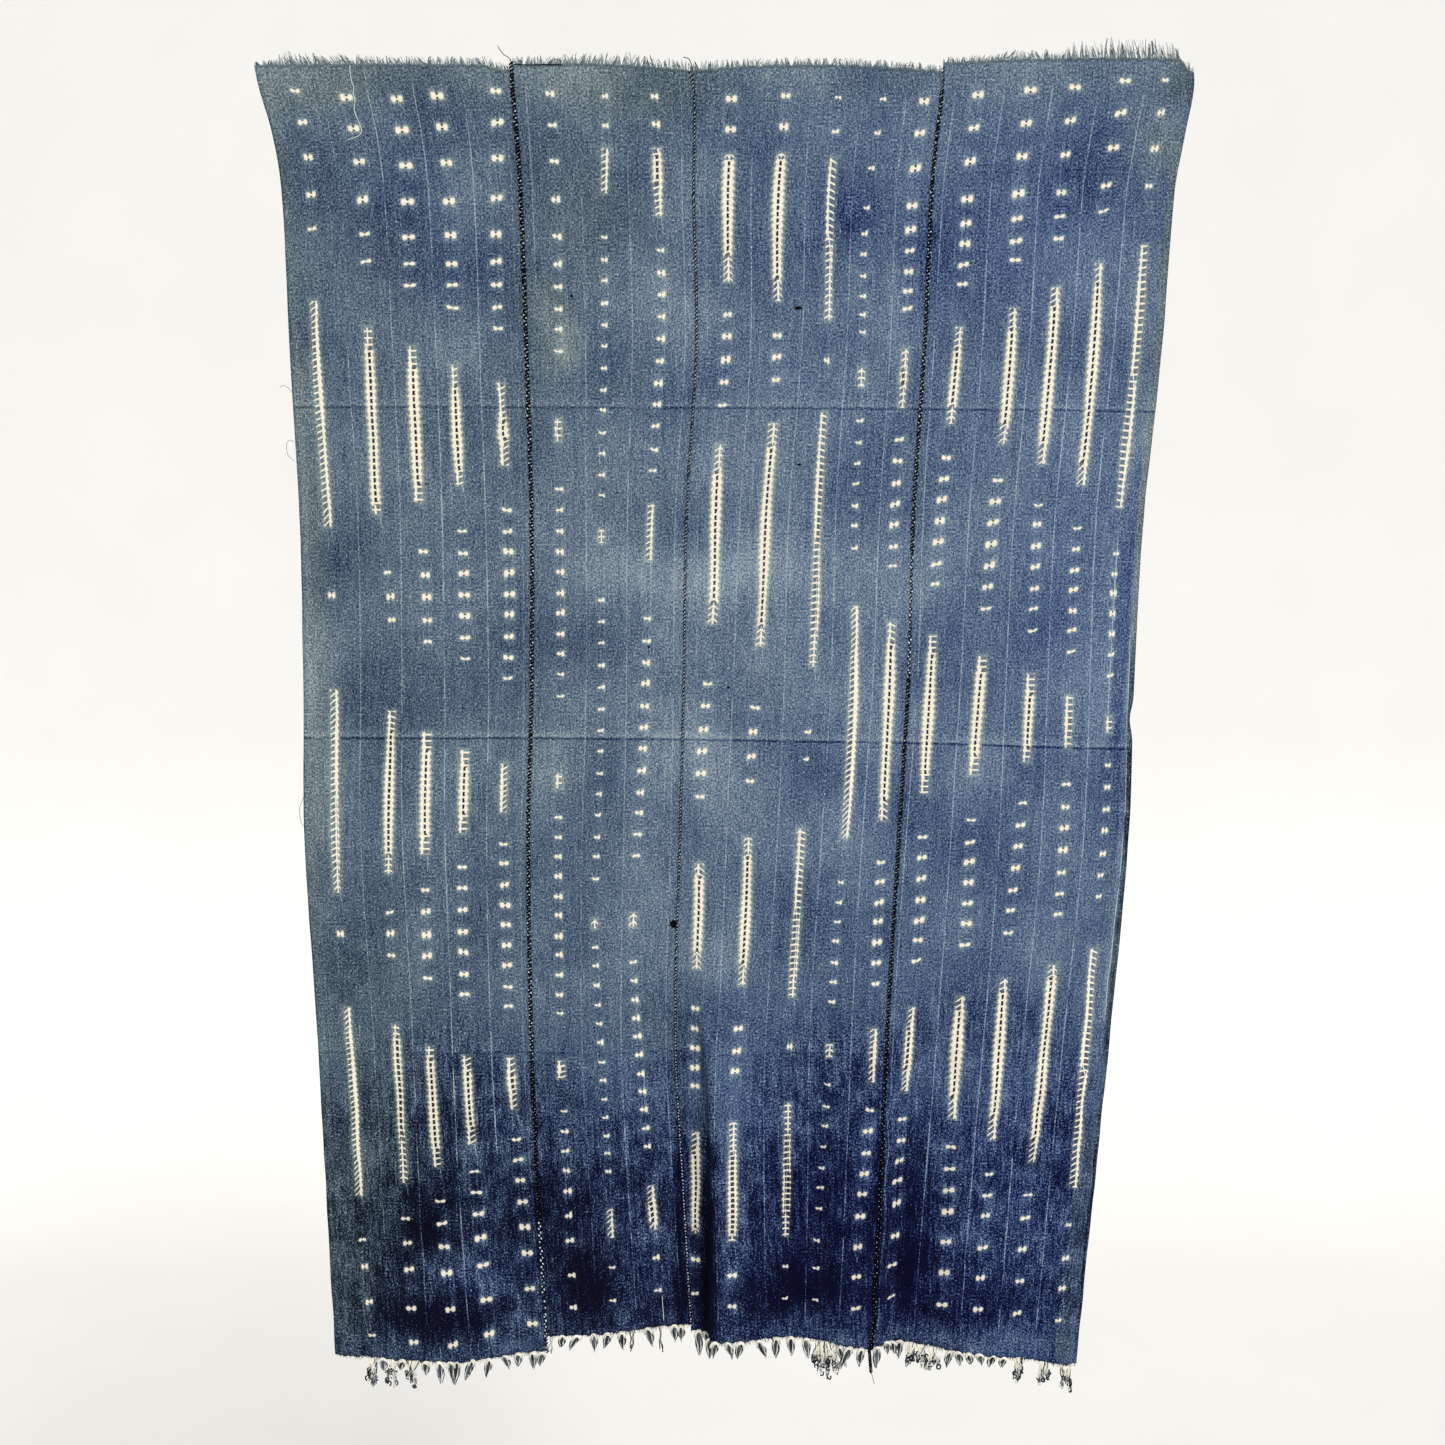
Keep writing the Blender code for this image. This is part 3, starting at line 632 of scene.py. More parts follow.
DEPTH_DROPS = (
    -0.01, 0.00, 0.03, 0.08, 0.20, 0.35, 0.50, 0.60, 0.75, 0.90, 1.00, 1.10, 1.16, 1.22, 1.30, 1.40, 1.48,
    1.52, 1.57,
)
DEPTH_VALUES = (
    0.37, 0.39, 0.45, 0.51, 0.51, 0.47, 0.46, 0.46, 0.48, 0.50, 0.51, 0.57, 0.62, 0.72, 0.86, 0.95, 0.95,
    0.84, 0.68,
)


class EdgeBand(NamedTuple):
    """A band along the left or the right selvedge where the dye is deeper or greyer, in metres."""

    left: bool
    first: float
    last: float
    nearest: float
    farthest: float
    deeper: float
    greyer: float


EDGE_BANDS = tuple(
    EdgeBand(*row)
    for row in (
        (True, 0.02, 1.52, -0.01, 0.011, -0.05, 0.5), (False, 0.1, 0.67, -0.01, 0.0075, -0.07, 0.7),
        (False, 0.42, 0.64, 0.008, 0.016, 0.08, -0.2), (False, 0.67, 1.16, -0.01, 0.0085, 0.2, 0.6),
        (False, 0.54, 0.79, 0.011, 0.027, 0.14, -0.2), (False, 0.69, 1.1, 0.009, 0.015, -0.11, 0.1),
        (False, 1.16, 1.52, -0.01, 0.006, 0.06, 0.4), (False, 1.24, 1.57, 0.004, 0.03, -0.12, 0.5),
    )
)


class Blot(NamedTuple):
    """A small black spot in the cloth, in millimetres."""

    across: float
    drop: float
    half_width: float
    half_height: float


BLOTS = tuple(
    Blot(*row)
    for row in (
        (85, 267, 4.6, 2.1), (-60.5, 991.5, 5, 5.2), (-89, 656, 1.8, 1.6), (87, 444, 2.2, 1.4),
        (5, 704, 2, 1.4), (-175, 253, 1.6, 2),
    )
)


FIRST_STEPS_LEFT = (34.7, 38.3, 41.8, 39.1, 31.0, 24.9, 25.7, 22.2, 24.0)
FIRST_STEPS_RIGHT = (34.5, 37.5, 41.5, 28.0, 23.5, 22.5, 22.0, 20.5, 19.5)
LAST_STEPS_LEFT = (46.0, 48.0, 35.0, 32.0, 28.0, 27.0, 27.0, 27.0, 27.0)
LAST_STEPS_RIGHT = (42.0, 40.5, 40.5, 28.5, 27.5, 27.0, 27.0, 27.0, 27.0)


TAILED_COLUMNS = (1, 2, 3, 4, 5, 8, 10, 11, 12, 17, 18)


class Swell(NamedTuple):
    """A place where a bar is wider, or narrower below zero, in millimetres."""

    column: int
    drop: float
    reach: float
    wider: float


SWELLS = tuple(
    Swell(*row)
    for row in (
        (2, 330, 22, -0.6), (2, 420, 40, 0.7), (3, 430, 34, 0.9), (4, 350, 28, -1.3), (4, 420, 26, 0.9),
        (5, 372, 16, -1.6), (5, 410, 16, 1.6), (9, 150, 50, 0.8), (10, 140, 60, 0.5), (9, 520, 60, 0.7),
        (10, 520, 90, 0.4), (14, 740, 50, 0.8), (15, 740, 50, 0.9), (16, 330, 60, 0.6), (17, 330, 80, 0.6),
        (13, 700, 50, 0.7), (12, 760, 60, 0.9), (3, 830, 40, 0.8), (4, 830, 30, 0.6), (2, 820, 50, 0.5),
        (15, 1150, 40, 0.9), (16, 1150, 60, 0.7), (17, 1170, 80, 0.6), (9, 980, 40, 0.7),
        (10, 980, 50, 0.5), (2, 1200, 50, -0.8), (10, 1300, 60, -0.4), (8, 130, 20, 0.7),
        (1, 300, 40, -0.5), (1, 860, 50, -0.5), (1, 1180, 60, -0.5), (2, 760, 20, -0.8),
        (3, 790, 16, -0.9), (9, 440, 24, -0.8), (10, 600, 40, -0.7), (11, 500, 120, -0.6),
        (13, 840, 30, -0.8), (12, 680, 60, -0.6), (17, 240, 24, -0.8), (18, 300, 120, -0.4),
    )
)


ODD_COLUMNS = (6, 7, 8, 11, 12)
SLIM_COLUMNS = (6, 7, 8, 11, 12, 16, 17, 18)
THIN_COLUMNS = (7, 12)
LAST_LEFT_COLUMN = 8
TOP_RUNS_ABOVE = 100.0
LOW_RUNS_BELOW = 1450.0
STEEP_FROM_COLUMN = 13
STEEP_LOW_COLUMNS = 6
STEEP_BELOW = 1200.0


class Marks:
    """The stitched bars, paired spots and pale yarns, told to each corner of a sheet's faces."""

    def __init__(self, strip: Strip) -> None:
        """Gathers what lies in one strip.

        Args:
            strip: the woven strip.
        """
        self.strip = strip
        self.columns = [column for column in COLUMN_SHARES if STRIP_OF_COLUMN[column] == strip.number]
        self.bars = [bar for bar in BARS if bar.column in self.columns]
        self.spots = self.lay_spots()
        self.yarns = [yarn for yarn in PALE_YARNS if yarn.strip == strip.number]

    def lay_spots(self) -> Array:
        """Places the spots of the strip's columns.

        Returns:
            Column, drop, half width, half height, tilt, smile and oddness of each, in millimetres.
        """
        chance = np.random.default_rng(SPOT_SEED + self.strip.number)
        rows = []
        for row in SPOT_ROWS:
            if row.column not in self.columns:
                continue
            for index, share in enumerate(self.spacing(row)):
                drop = row.first + (row.last - row.first) * share
                near = share if row.count > 1 else 0.5
                thin = max(row.thin_first * (1.0 - 2.5 * near), row.thin_last * (2.5 * near - 1.5), 0.0)
                thin = min(1.0, max(0.0, thin + chance.uniform(-0.12, 0.12)))
                odd_range = (0.15, 0.50) if row.column in ODD_COLUMNS else (-0.12, 0.12)
                odd = chance.uniform(*odd_range)
                slim = 0.9 if row.column in SLIM_COLUMNS else 1.0
                if row.column in THIN_COLUMNS:
                    thin = max(thin, chance.uniform(0.45, 0.85))
                half = row.half * slim * (0.81 - 0.10 * thin) * chance.uniform(0.90, 1.08)
                tall = (3.5 * slim - 1.9 * thin) * chance.uniform(0.82, 1.12)
                low_left = row.column <= STEEP_LOW_COLUMNS and row.first > STEEP_BELOW
                steep = row.column >= STEEP_FROM_COLUMN or low_left
                rising = -0.12 if steep else -0.02
                tilt = rising * (1.3 if index else 0.4) + chance.normal(0.0, 0.09)
                smile = chance.uniform(0.3, 1.7) * max(thin, 0.35) * chance.choice((1.0, 1.0, 1.0, -0.5))
                rows.append((row.column, drop + chance.uniform(-1.0, 1.0), half, tall, tilt, smile, odd))
        return np.array(rows)

    @staticmethod
    def spacing(row: SpotRow) -> list[float]:
        """Shares of a run's length at which its spots lie; the first and last runs are wider apart.

        Args:
            row: the run of spots.

        Returns:
            One share for each spot.
        """
        left = row.column <= LAST_LEFT_COLUMN
        steps = [1.0] * (row.count - 1)
        if row.first < TOP_RUNS_ABOVE:
            steps = list((FIRST_STEPS_LEFT if left else FIRST_STEPS_RIGHT)[: row.count - 1])
        elif row.last > LOW_RUNS_BELOW:
            steps = list((LAST_STEPS_LEFT if left else LAST_STEPS_RIGHT)[: row.count - 1])[::-1]
        reached = [sum(steps[:index]) for index in range(row.count)]
        return [reach / max(sum(steps), 1.0) for reach in reached]

    def column_share(self, column: int, drop: Array) -> Array:
        """Share of the strip's width at which a column of marks runs."""
        return curve_through(np.array(COLUMN_DROPS), np.array(COLUMN_SHARES[column]) / 1000.0, drop)

    def corner_values(self, share: Array, drop: Array, width: Array) -> dict[str, Array]:
        """What a face's corners need to draw the nearest marks.

        Args:
            share: share of the strip's width, one row of corners for each face.
            drop: drop of the same corners, in metres.
            width: width of the strip at the same corners, in metres.

        Returns:
            Named arrays of three numbers for each corner, in millimetres where they are lengths.
        """
        middle_share, middle_drop = share.mean(axis=1), drop.mean(axis=1)
        away = np.stack([np.abs(middle_share - self.column_share(c, middle_drop)) for c in self.columns])
        nearest = np.array(self.columns)[away.argmin(axis=0)]
        across = np.zeros_like(share)
        for column in self.columns:
            here = nearest == column
            across[here] = (share[here] - self.column_share(column, drop[here])) * width[here] / MM
        drop_mm = drop / MM
        values = self.bar_values(nearest, across, drop_mm)
        values.update(self.spot_values(nearest, across, drop_mm))
        values["pale_yarn"] = self.yarn_values(middle_share, share, drop, width)
        return values

    def bar_values(self, nearest: Array, across: Array, drop: Array) -> dict[str, Array]:
        """The nearest bar of each face, as its corners see it.

        Args:
            nearest: the column nearest to each face.
            across: millimetres right of that column, for each corner.
            drop: millimetres below the top edge, for each corner.

        Returns:
            Named arrays of three numbers for each corner.
        """
        table = np.array(self.bars)
        middle = drop.mean(axis=1)
        gap = np.maximum(table[:, 1, None] - middle, middle - table[:, 2, None])
        gap = np.where(table[:, 0, None] == nearest, np.maximum(gap, 0.0), OTHER_COLUMN)
        bar = table[gap.argmin(axis=0)].T[:, :, None]
        column, top, bottom, half, top_rungs, bottom_rungs, top_spine, bottom_spine, slant, body = bar
        below_top = drop - top
        above_bottom = bottom - drop
        chance = np.modf(top * 0.137)[0]
        pitch = STITCH_PITCH * (0.92 + 0.16 * chance)
        near_top = 1.0 - eased((below_top / top_rungs - 0.75) / 0.5)
        near_bottom = 1.0 - eased((above_bottom / bottom_rungs - 0.75) / 0.5)
        open_end = np.maximum(near_top, near_bottom)
        body = body * (1.0 - open_end)
        upper = eased(0.5 + (above_bottom - below_top) / 60.0)
        spine = top_spine * upper + bottom_spine * (1.0 - upper)
        slant = slant * (1.0 + open_end) * np.where(upper > 0.5, 0.8, 1.0)
        swell = 1.0 + 0.10 * np.sin(drop / 23.0 + 9.0 * chance) - 0.10 * open_end
        half = half * swell
        for place in SWELLS:
            near = np.maximum(0.0, 1.0 - ((drop - place.drop) / place.reach) ** 2) ** 2
            half = half + np.where(column == place.column, place.wider * near, 0.0)
        return {
            "bar_line": np.stack([across, below_top / pitch + chance, half], axis=-1),
            "bar_weave": np.stack([body, spine, slant], axis=-1),
            "bar_ends": np.stack([below_top, above_bottom, chance + 0.0 * across], axis=-1),
        }

    def spot_values(self, nearest: Array, across: Array, drop: Array) -> dict[str, Array]:
        """The nearest spot of each face, as its corners see it.

        Args:
            nearest: the column nearest to each face.
            across: millimetres right of that column, for each corner.
            drop: millimetres below the top edge, for each corner.

        Returns:
            Named arrays of three numbers for each corner.
        """
        middle = drop.mean(axis=1)
        gap = np.abs(self.spots[:, 1, None] - middle)
        gap = np.where(self.spots[:, 0, None] == nearest, gap, OTHER_COLUMN)
        flat = np.zeros_like(across)
        spot = self.spots[gap.argmin(axis=0)].T[:, :, None] + flat
        _, place, half, tall, tilt, smile, odd = spot
        return {
            "spot_place": np.stack([across, drop - place, half], axis=-1),
            "spot_look": np.stack([tall, tilt, smile], axis=-1),
            "spot_odd": np.stack([odd, flat, flat], axis=-1),
        }

    def yarn_values(self, middle_share: Array, share: Array, drop: Array, width: Array) -> Array:
        """Distance from the nearest pale yarn, and how clearly it shows.

        Args:
            middle_share: share of the strip's width at each face's middle.
            share: the same at each corner.
            drop: distance below the top edge at each corner.
            width: width of the strip at each corner.

        Returns:
            Distance in millimetres, clearness and the yarn's number for each corner.
        """
        shares, clear = [], []
        for yarn in self.yarns:
            run = drop / 1.55
            wander = 0.004 * np.sin(drop * 9.0 + 40.0 * yarn.share_top)
            shares.append(yarn.share_top + (yarn.share_bottom - yarn.share_top) * run + wander)
            inside = eased((drop - yarn.first) / 0.03) * eased((yarn.last - drop) / 0.03)
            clear.append(yarn.strength * inside)
        for bar in self.bars:
            if bar.column not in TAILED_COLUMNS or bar.bottom - bar.top < 50.0:
                continue
            start, length = bar.bottom * MM, 0.024
            run = (drop - start) / length
            lean = 0.012 if bar.column < 12 else -0.010
            shares.append(self.column_share(bar.column, drop) + 0.010 + lean * run)
            clear.append(0.8 * eased(run * 12.0) * eased((1.0 - run) * 1.6))
        shares, clear = np.stack(shares), np.stack(clear)
        away = np.abs(shares.mean(axis=2) - middle_share) + np.where(clear.mean(axis=2) > 0.0, 0.0, 0.2)
        which = away.argmin(axis=0)
        faces = np.arange(len(middle_share))
        across = (share - shares[which, faces]) * width / MM
        return np.stack([across, clear[which, faces], which[:, None] + 0.0 * across], axis=-1)


class DyeAndShade:
    """How deep and how grey the indigo is over the cloth, with painted shade in a few fold hollows, beside
    seam 2 and along the outer edges.
    """

    def __init__(self, hang: Hang) -> None:
        """Chooses the drifts of the dye bath.

        Args:
            hang: the surface that the cloth hangs in.
        """
        self.hang = hang
        chance = np.random.default_rng(DYE_SEED)
        self.drifts = [
            (
                chance.uniform(0.0, math.pi),
                2.0 * math.pi / chance.uniform(0.09, 0.34),
                chance.uniform(0.0, 6.0),
            )
            for _ in range(16)
        ]

    def tones(self, across: Array, drop: Array) -> Array:
        """The dye at places on the cloth, with painted shade from some clouds and along the outer edges.

        Args:
            across: x on the front view.
            drop: distance below the top edge.

        Returns:
            Depth, greyness and blot for each place.
        """
        depth = np.interp(drop, DEPTH_DROPS, DEPTH_VALUES)
        grey = 0.72 - 0.42 * eased((across + 0.45) / 0.80) - 0.25 * eased((drop - 1.05) / 0.2)
        grey = grey + 0.25 * (1.0 - eased(drop / 0.07))
        # Most clouds are dye; a few are painted shade in fold hollows and beside seam 2.
        for cloud in CLOUDS:
            beside = (across / MM - cloud.across) / cloud.half_width
            below = (drop / MM - cloud.drop) / cloud.half_height
            soft = np.exp(-0.8 * (beside**2 + below**2))
            depth = depth + cloud.deeper * soft
            grey = grey + cloud.greyer * soft
        drift = sum(
            np.sin(rate * (across * math.cos(turn) + drop * math.sin(turn)) + start)
            for turn, rate, start in self.drifts
        )
        depth = depth + 0.016 * drift
        # Painted shade: the tone deepens within a few millimetres of the outer edges.
        edge = np.minimum(across - self.hang.line(0, drop), self.hang.line(4, drop) - across)
        depth = depth + 0.08 * np.exp(-edge / 0.0014)
        for band in EDGE_BANDS:
            side = (across - self.hang.line(0, drop)) if band.left else (self.hang.line(4, drop) - across)
            inside = eased((side - band.nearest) / 0.0016 + 0.5)
            inside = inside * eased((band.farthest - side) / 0.0024 + 0.5)
            ends = eased((drop - band.first) / 0.05 + 0.5) * eased((band.last - drop) / 0.05 + 0.5)
            depth = depth + band.deeper * inside * ends
            grey = grey + band.greyer * inside * ends
        return np.stack([depth, np.clip(grey, 0.0, 1.0), np.zeros_like(depth)], axis=-1)

    @staticmethod
    def flaws(across: Array, drop: Array) -> Array:
        """Where the nearest black spot and storage crease lie, for the corners of each face.

        Args:
            across: x on the front view, one row of corners for each face.
            drop: distance below the top edge at the same corners.

        Returns:
            Distances beside and below the spot in its own half sizes, and below the crease in millimetres.
        """
        middle_across, middle_drop = across.mean(axis=1), drop.mean(axis=1)
        blots = np.array(BLOTS) * MM
        away = np.stack([np.hypot(middle_across - blot[0], middle_drop - blot[1]) for blot in blots])
        table = blots[away.argmin(axis=0)][:, :, None]
        beside = np.clip((across - table[:, 0]) / table[:, 2], -9.0, 9.0)
        below = np.clip((drop - table[:, 1]) / table[:, 3], -9.0, 9.0)
        run = np.clip((across + 0.5) / 1.0, 0.0, 1.0)
        lines = np.stack([left + (right - left) * run**2.5 for left, right in STORED_CREASES])
        nearest = np.abs(lines.mean(axis=2) - middle_drop).argmin(axis=0)
        off = (drop - lines[nearest, np.arange(len(drop))]) / MM
        return np.stack([beside, below, np.clip(off, -60.0, 60.0)], axis=-1)


def linear_colour(red: int, green: int, blue: int, gain: float = 1.0) -> Colour:
    """A colour for a shader from the values that a screen shows.

    Args:
        red: from 0 to 255.
        green: from 0 to 255.
        blue: from 0 to 255.
        gain: how much lighter or darker the surface is than the colour on a screen.

    Returns:
        Linear red, green, blue and an alpha of 1.
    """
    parts = [value / 255.0 for value in (red, green, blue)]
    made = [p / 12.92 if p <= 0.04045 else ((p + 0.055) / 1.055) ** 2.4 for p in parts]
    return (made[0] * gain, made[1] * gain, made[2] * gain, 1.0)


class Signal:
    """A number that runs through a material's nodes, so that a finish can be written as sums."""

    def __init__(self, tree: bpy.types.NodeTree, socket: Socket) -> None:
        """Takes the socket that gives the number."""
        self.tree = tree
        self.socket = socket

    def through(self, operation: str, *others: "float | Signal") -> "Signal":
        """This number and others through one math node.

        Args:
            operation: the node's operation.
            others: the other numbers.

        Returns:
            The node's result.
        """
        node = self.tree.nodes.new("ShaderNodeMath")
        node.operation = operation
        for place, value in enumerate((self, *others)):
            if isinstance(value, Signal):
                self.tree.links.new(value.socket, node.inputs[place])
            else:
                node.inputs[place].default_value = value
        return Signal(self.tree, node.outputs["Value"])

    def __add__(self, other: "float | Signal") -> "Signal":
        """The sum."""
        return self.through("ADD", other)

    def __sub__(self, other: "float | Signal") -> "Signal":
        """The difference."""
        return self.through("SUBTRACT", other)

    def __mul__(self, other: "float | Signal") -> "Signal":
        """The product."""
        return self.through("MULTIPLY", other)

    def __truediv__(self, other: "float | Signal") -> "Signal":
        """The quotient."""
        return self.through("DIVIDE", other)

    def size(self) -> "Signal":
        """The number without its sign."""
        return self.through("ABSOLUTE")

    def least(self, other: "float | Signal") -> "Signal":
        """The smaller of two."""
        return self.through("MINIMUM", other)

    def most(self, other: "float | Signal") -> "Signal":
        """The larger of two."""
        return self.through("MAXIMUM", other)

    def beyond_whole(self) -> "Signal":
        """What is left over whole numbers."""
        return self.through("FRACT")

    def from_one(self) -> "Signal":
        """One less the number."""
        return (self * -1.0) + 1.0

    def rise(self, low: float, high: float, top: float = 1.0) -> "Signal":
        """Goes softly from 0 at low to top at high.

        Args:
            low: where it starts.
            high: where it ends, above or below the start.
            top: what it reaches.

        Returns:
            The softened number.
        """
        node = self.tree.nodes.new("ShaderNodeMapRange")
        node.interpolation_type = "SMOOTHSTEP"
        self.tree.links.new(self.socket, node.inputs["Value"])
        node.inputs["From Min"].default_value = low
        node.inputs["From Max"].default_value = high
        node.inputs["To Max"].default_value = top
        return Signal(self.tree, node.outputs["Result"])

    def toward(self, other: "float | Signal", share: "Signal") -> "Signal":
        """This number moved towards another by a share.

        Args:
            other: the number at a share of 1.
            share: how far it moves.

        Returns:
            The number between the two.
        """
        if isinstance(other, Signal):
            return self + (other - self) * share
        return self * share.from_one() + share * other


class Painter:
    """One material under construction: its attributes, noises, colours and shader."""

    def __init__(self, name: str) -> None:
        """Starts a material with a plain shader.

        Args:
            name: the material's name.
        """
        self.material = bpy.data.materials.new(name)
        self.material.use_nodes = True
        self.tree = self.material.node_tree
        self.shader = self.tree.nodes["Principled BSDF"]

    def attribute(self, name: str) -> tuple[Signal, Signal, Signal]:
        """The three numbers of a named attribute.

        Args:
            name: the attribute.

        Returns:
            One number each.
        """
        node = self.tree.nodes.new("ShaderNodeAttribute")
        node.attribute_name = name
        split = self.tree.nodes.new("ShaderNodeSeparateXYZ")
        self.tree.links.new(node.outputs["Vector"], split.inputs["Vector"])
        x, y, z = (Signal(self.tree, split.outputs[axis]) for axis in "XYZ")
        return x, y, z

    def noise(
        self, sizes_mm: tuple[float, ...], detail: float, roughness: float = 0.6, source: str = "thread"
    ) -> Signal:
        """Soft noise over a named attribute in metres.

        Args:
            sizes_mm: the size of one patch along its first two axes, or along all three.
            detail: how many finer layers it has.
            roughness: how strong the finer layers are.
            source: the attribute, or an empty name for object coordinates.

        Returns:
            A number around 0.5.
        """
        if source:
            start = self.tree.nodes.new("ShaderNodeAttribute")
            start.attribute_name = source
            out = start.outputs["Vector"]
        else:
            out = self.tree.nodes.new("ShaderNodeTexCoord").outputs["Object"]
        scale = self.tree.nodes.new("ShaderNodeVectorMath")
        scale.operation = "MULTIPLY"
        scale.inputs[1].default_value = tuple(1.0 / (size * MM) for size in (*sizes_mm, 1000.0)[:3])
        self.tree.links.new(out, scale.inputs[0])
        node = self.tree.nodes.new("ShaderNodeTexNoise")
        node.inputs["Scale"].default_value = 1.0
        node.inputs["Detail"].default_value = detail
        node.inputs["Roughness"].default_value = roughness
        self.tree.links.new(scale.outputs["Vector"], node.inputs["Vector"])
        return Signal(self.tree, node.outputs["Fac"])

    def ramp(self, value: Signal, stops: Stops) -> Socket:
        """A colour for each value, from a few stops.

        Args:
            value: the number that runs along the stops.
            stops: places with their colours.

        Returns:
            The colour.
        """
        node = self.tree.nodes.new("ShaderNodeValToRGB")
        band = node.color_ramp.elements
        while len(band) < len(stops):
            band.new(0.5)
        for element, (place, colour) in zip(band, stops):
            element.position = place
            element.color = colour
        self.tree.links.new(value.socket, node.inputs["Fac"])
        return node.outputs["Color"]

    def mixed(self, share: Signal, first: Socket | Colour, second: Socket | Colour) -> Socket:
        """The first colour turned into the second by a share.

        Args:
            share: 0 for the first and 1 for the second.
            first: a colour.
            second: a colour.

        Returns:
            The mixed colour.
        """
        node = self.tree.nodes.new("ShaderNodeMix")
        node.data_type = "RGBA"
        self.tree.links.new(share.socket, node.inputs[0])
        for place, colour in ((6, first), (7, second)):
            if isinstance(colour, tuple):
                node.inputs[place].default_value = colour
            else:
                self.tree.links.new(colour, node.inputs[place])
        return node.outputs[2]

    def bump(self, height: Signal, distance_mm: float, strength: float) -> None:
        """Gives the shader a fine relief.

        Args:
            height: its height, where 1 is the full depth.
            distance_mm: the full depth.
            strength: how strongly it shades.
        """
        node = self.tree.nodes.new("ShaderNodeBump")
        node.inputs["Distance"].default_value = distance_mm * MM
        node.inputs["Strength"].default_value = strength
        self.tree.links.new(height.socket, node.inputs["Height"])
        self.tree.links.new(node.outputs["Normal"], self.shader.inputs["Normal"])

    def finish(self, colour: Socket, roughness: float, sheen: float) -> Finish:
        """Joins the colour to the shader and sets its constants.

        Args:
            colour: the surface's colour.
            roughness: how matt it is.
            sheen: how much soft fibre shine it has.

        Returns:
            The finished material.
        """
        self.tree.links.new(colour, self.shader.inputs["Base Color"])
        self.shader.inputs["Roughness"].default_value = roughness
        self.shader.inputs["Specular IOR Level"].default_value = 0.06
        self.shader.inputs["Sheen Weight"].default_value = sheen
        self.shader.inputs["Sheen Roughness"].default_value = 0.55
        return self.material


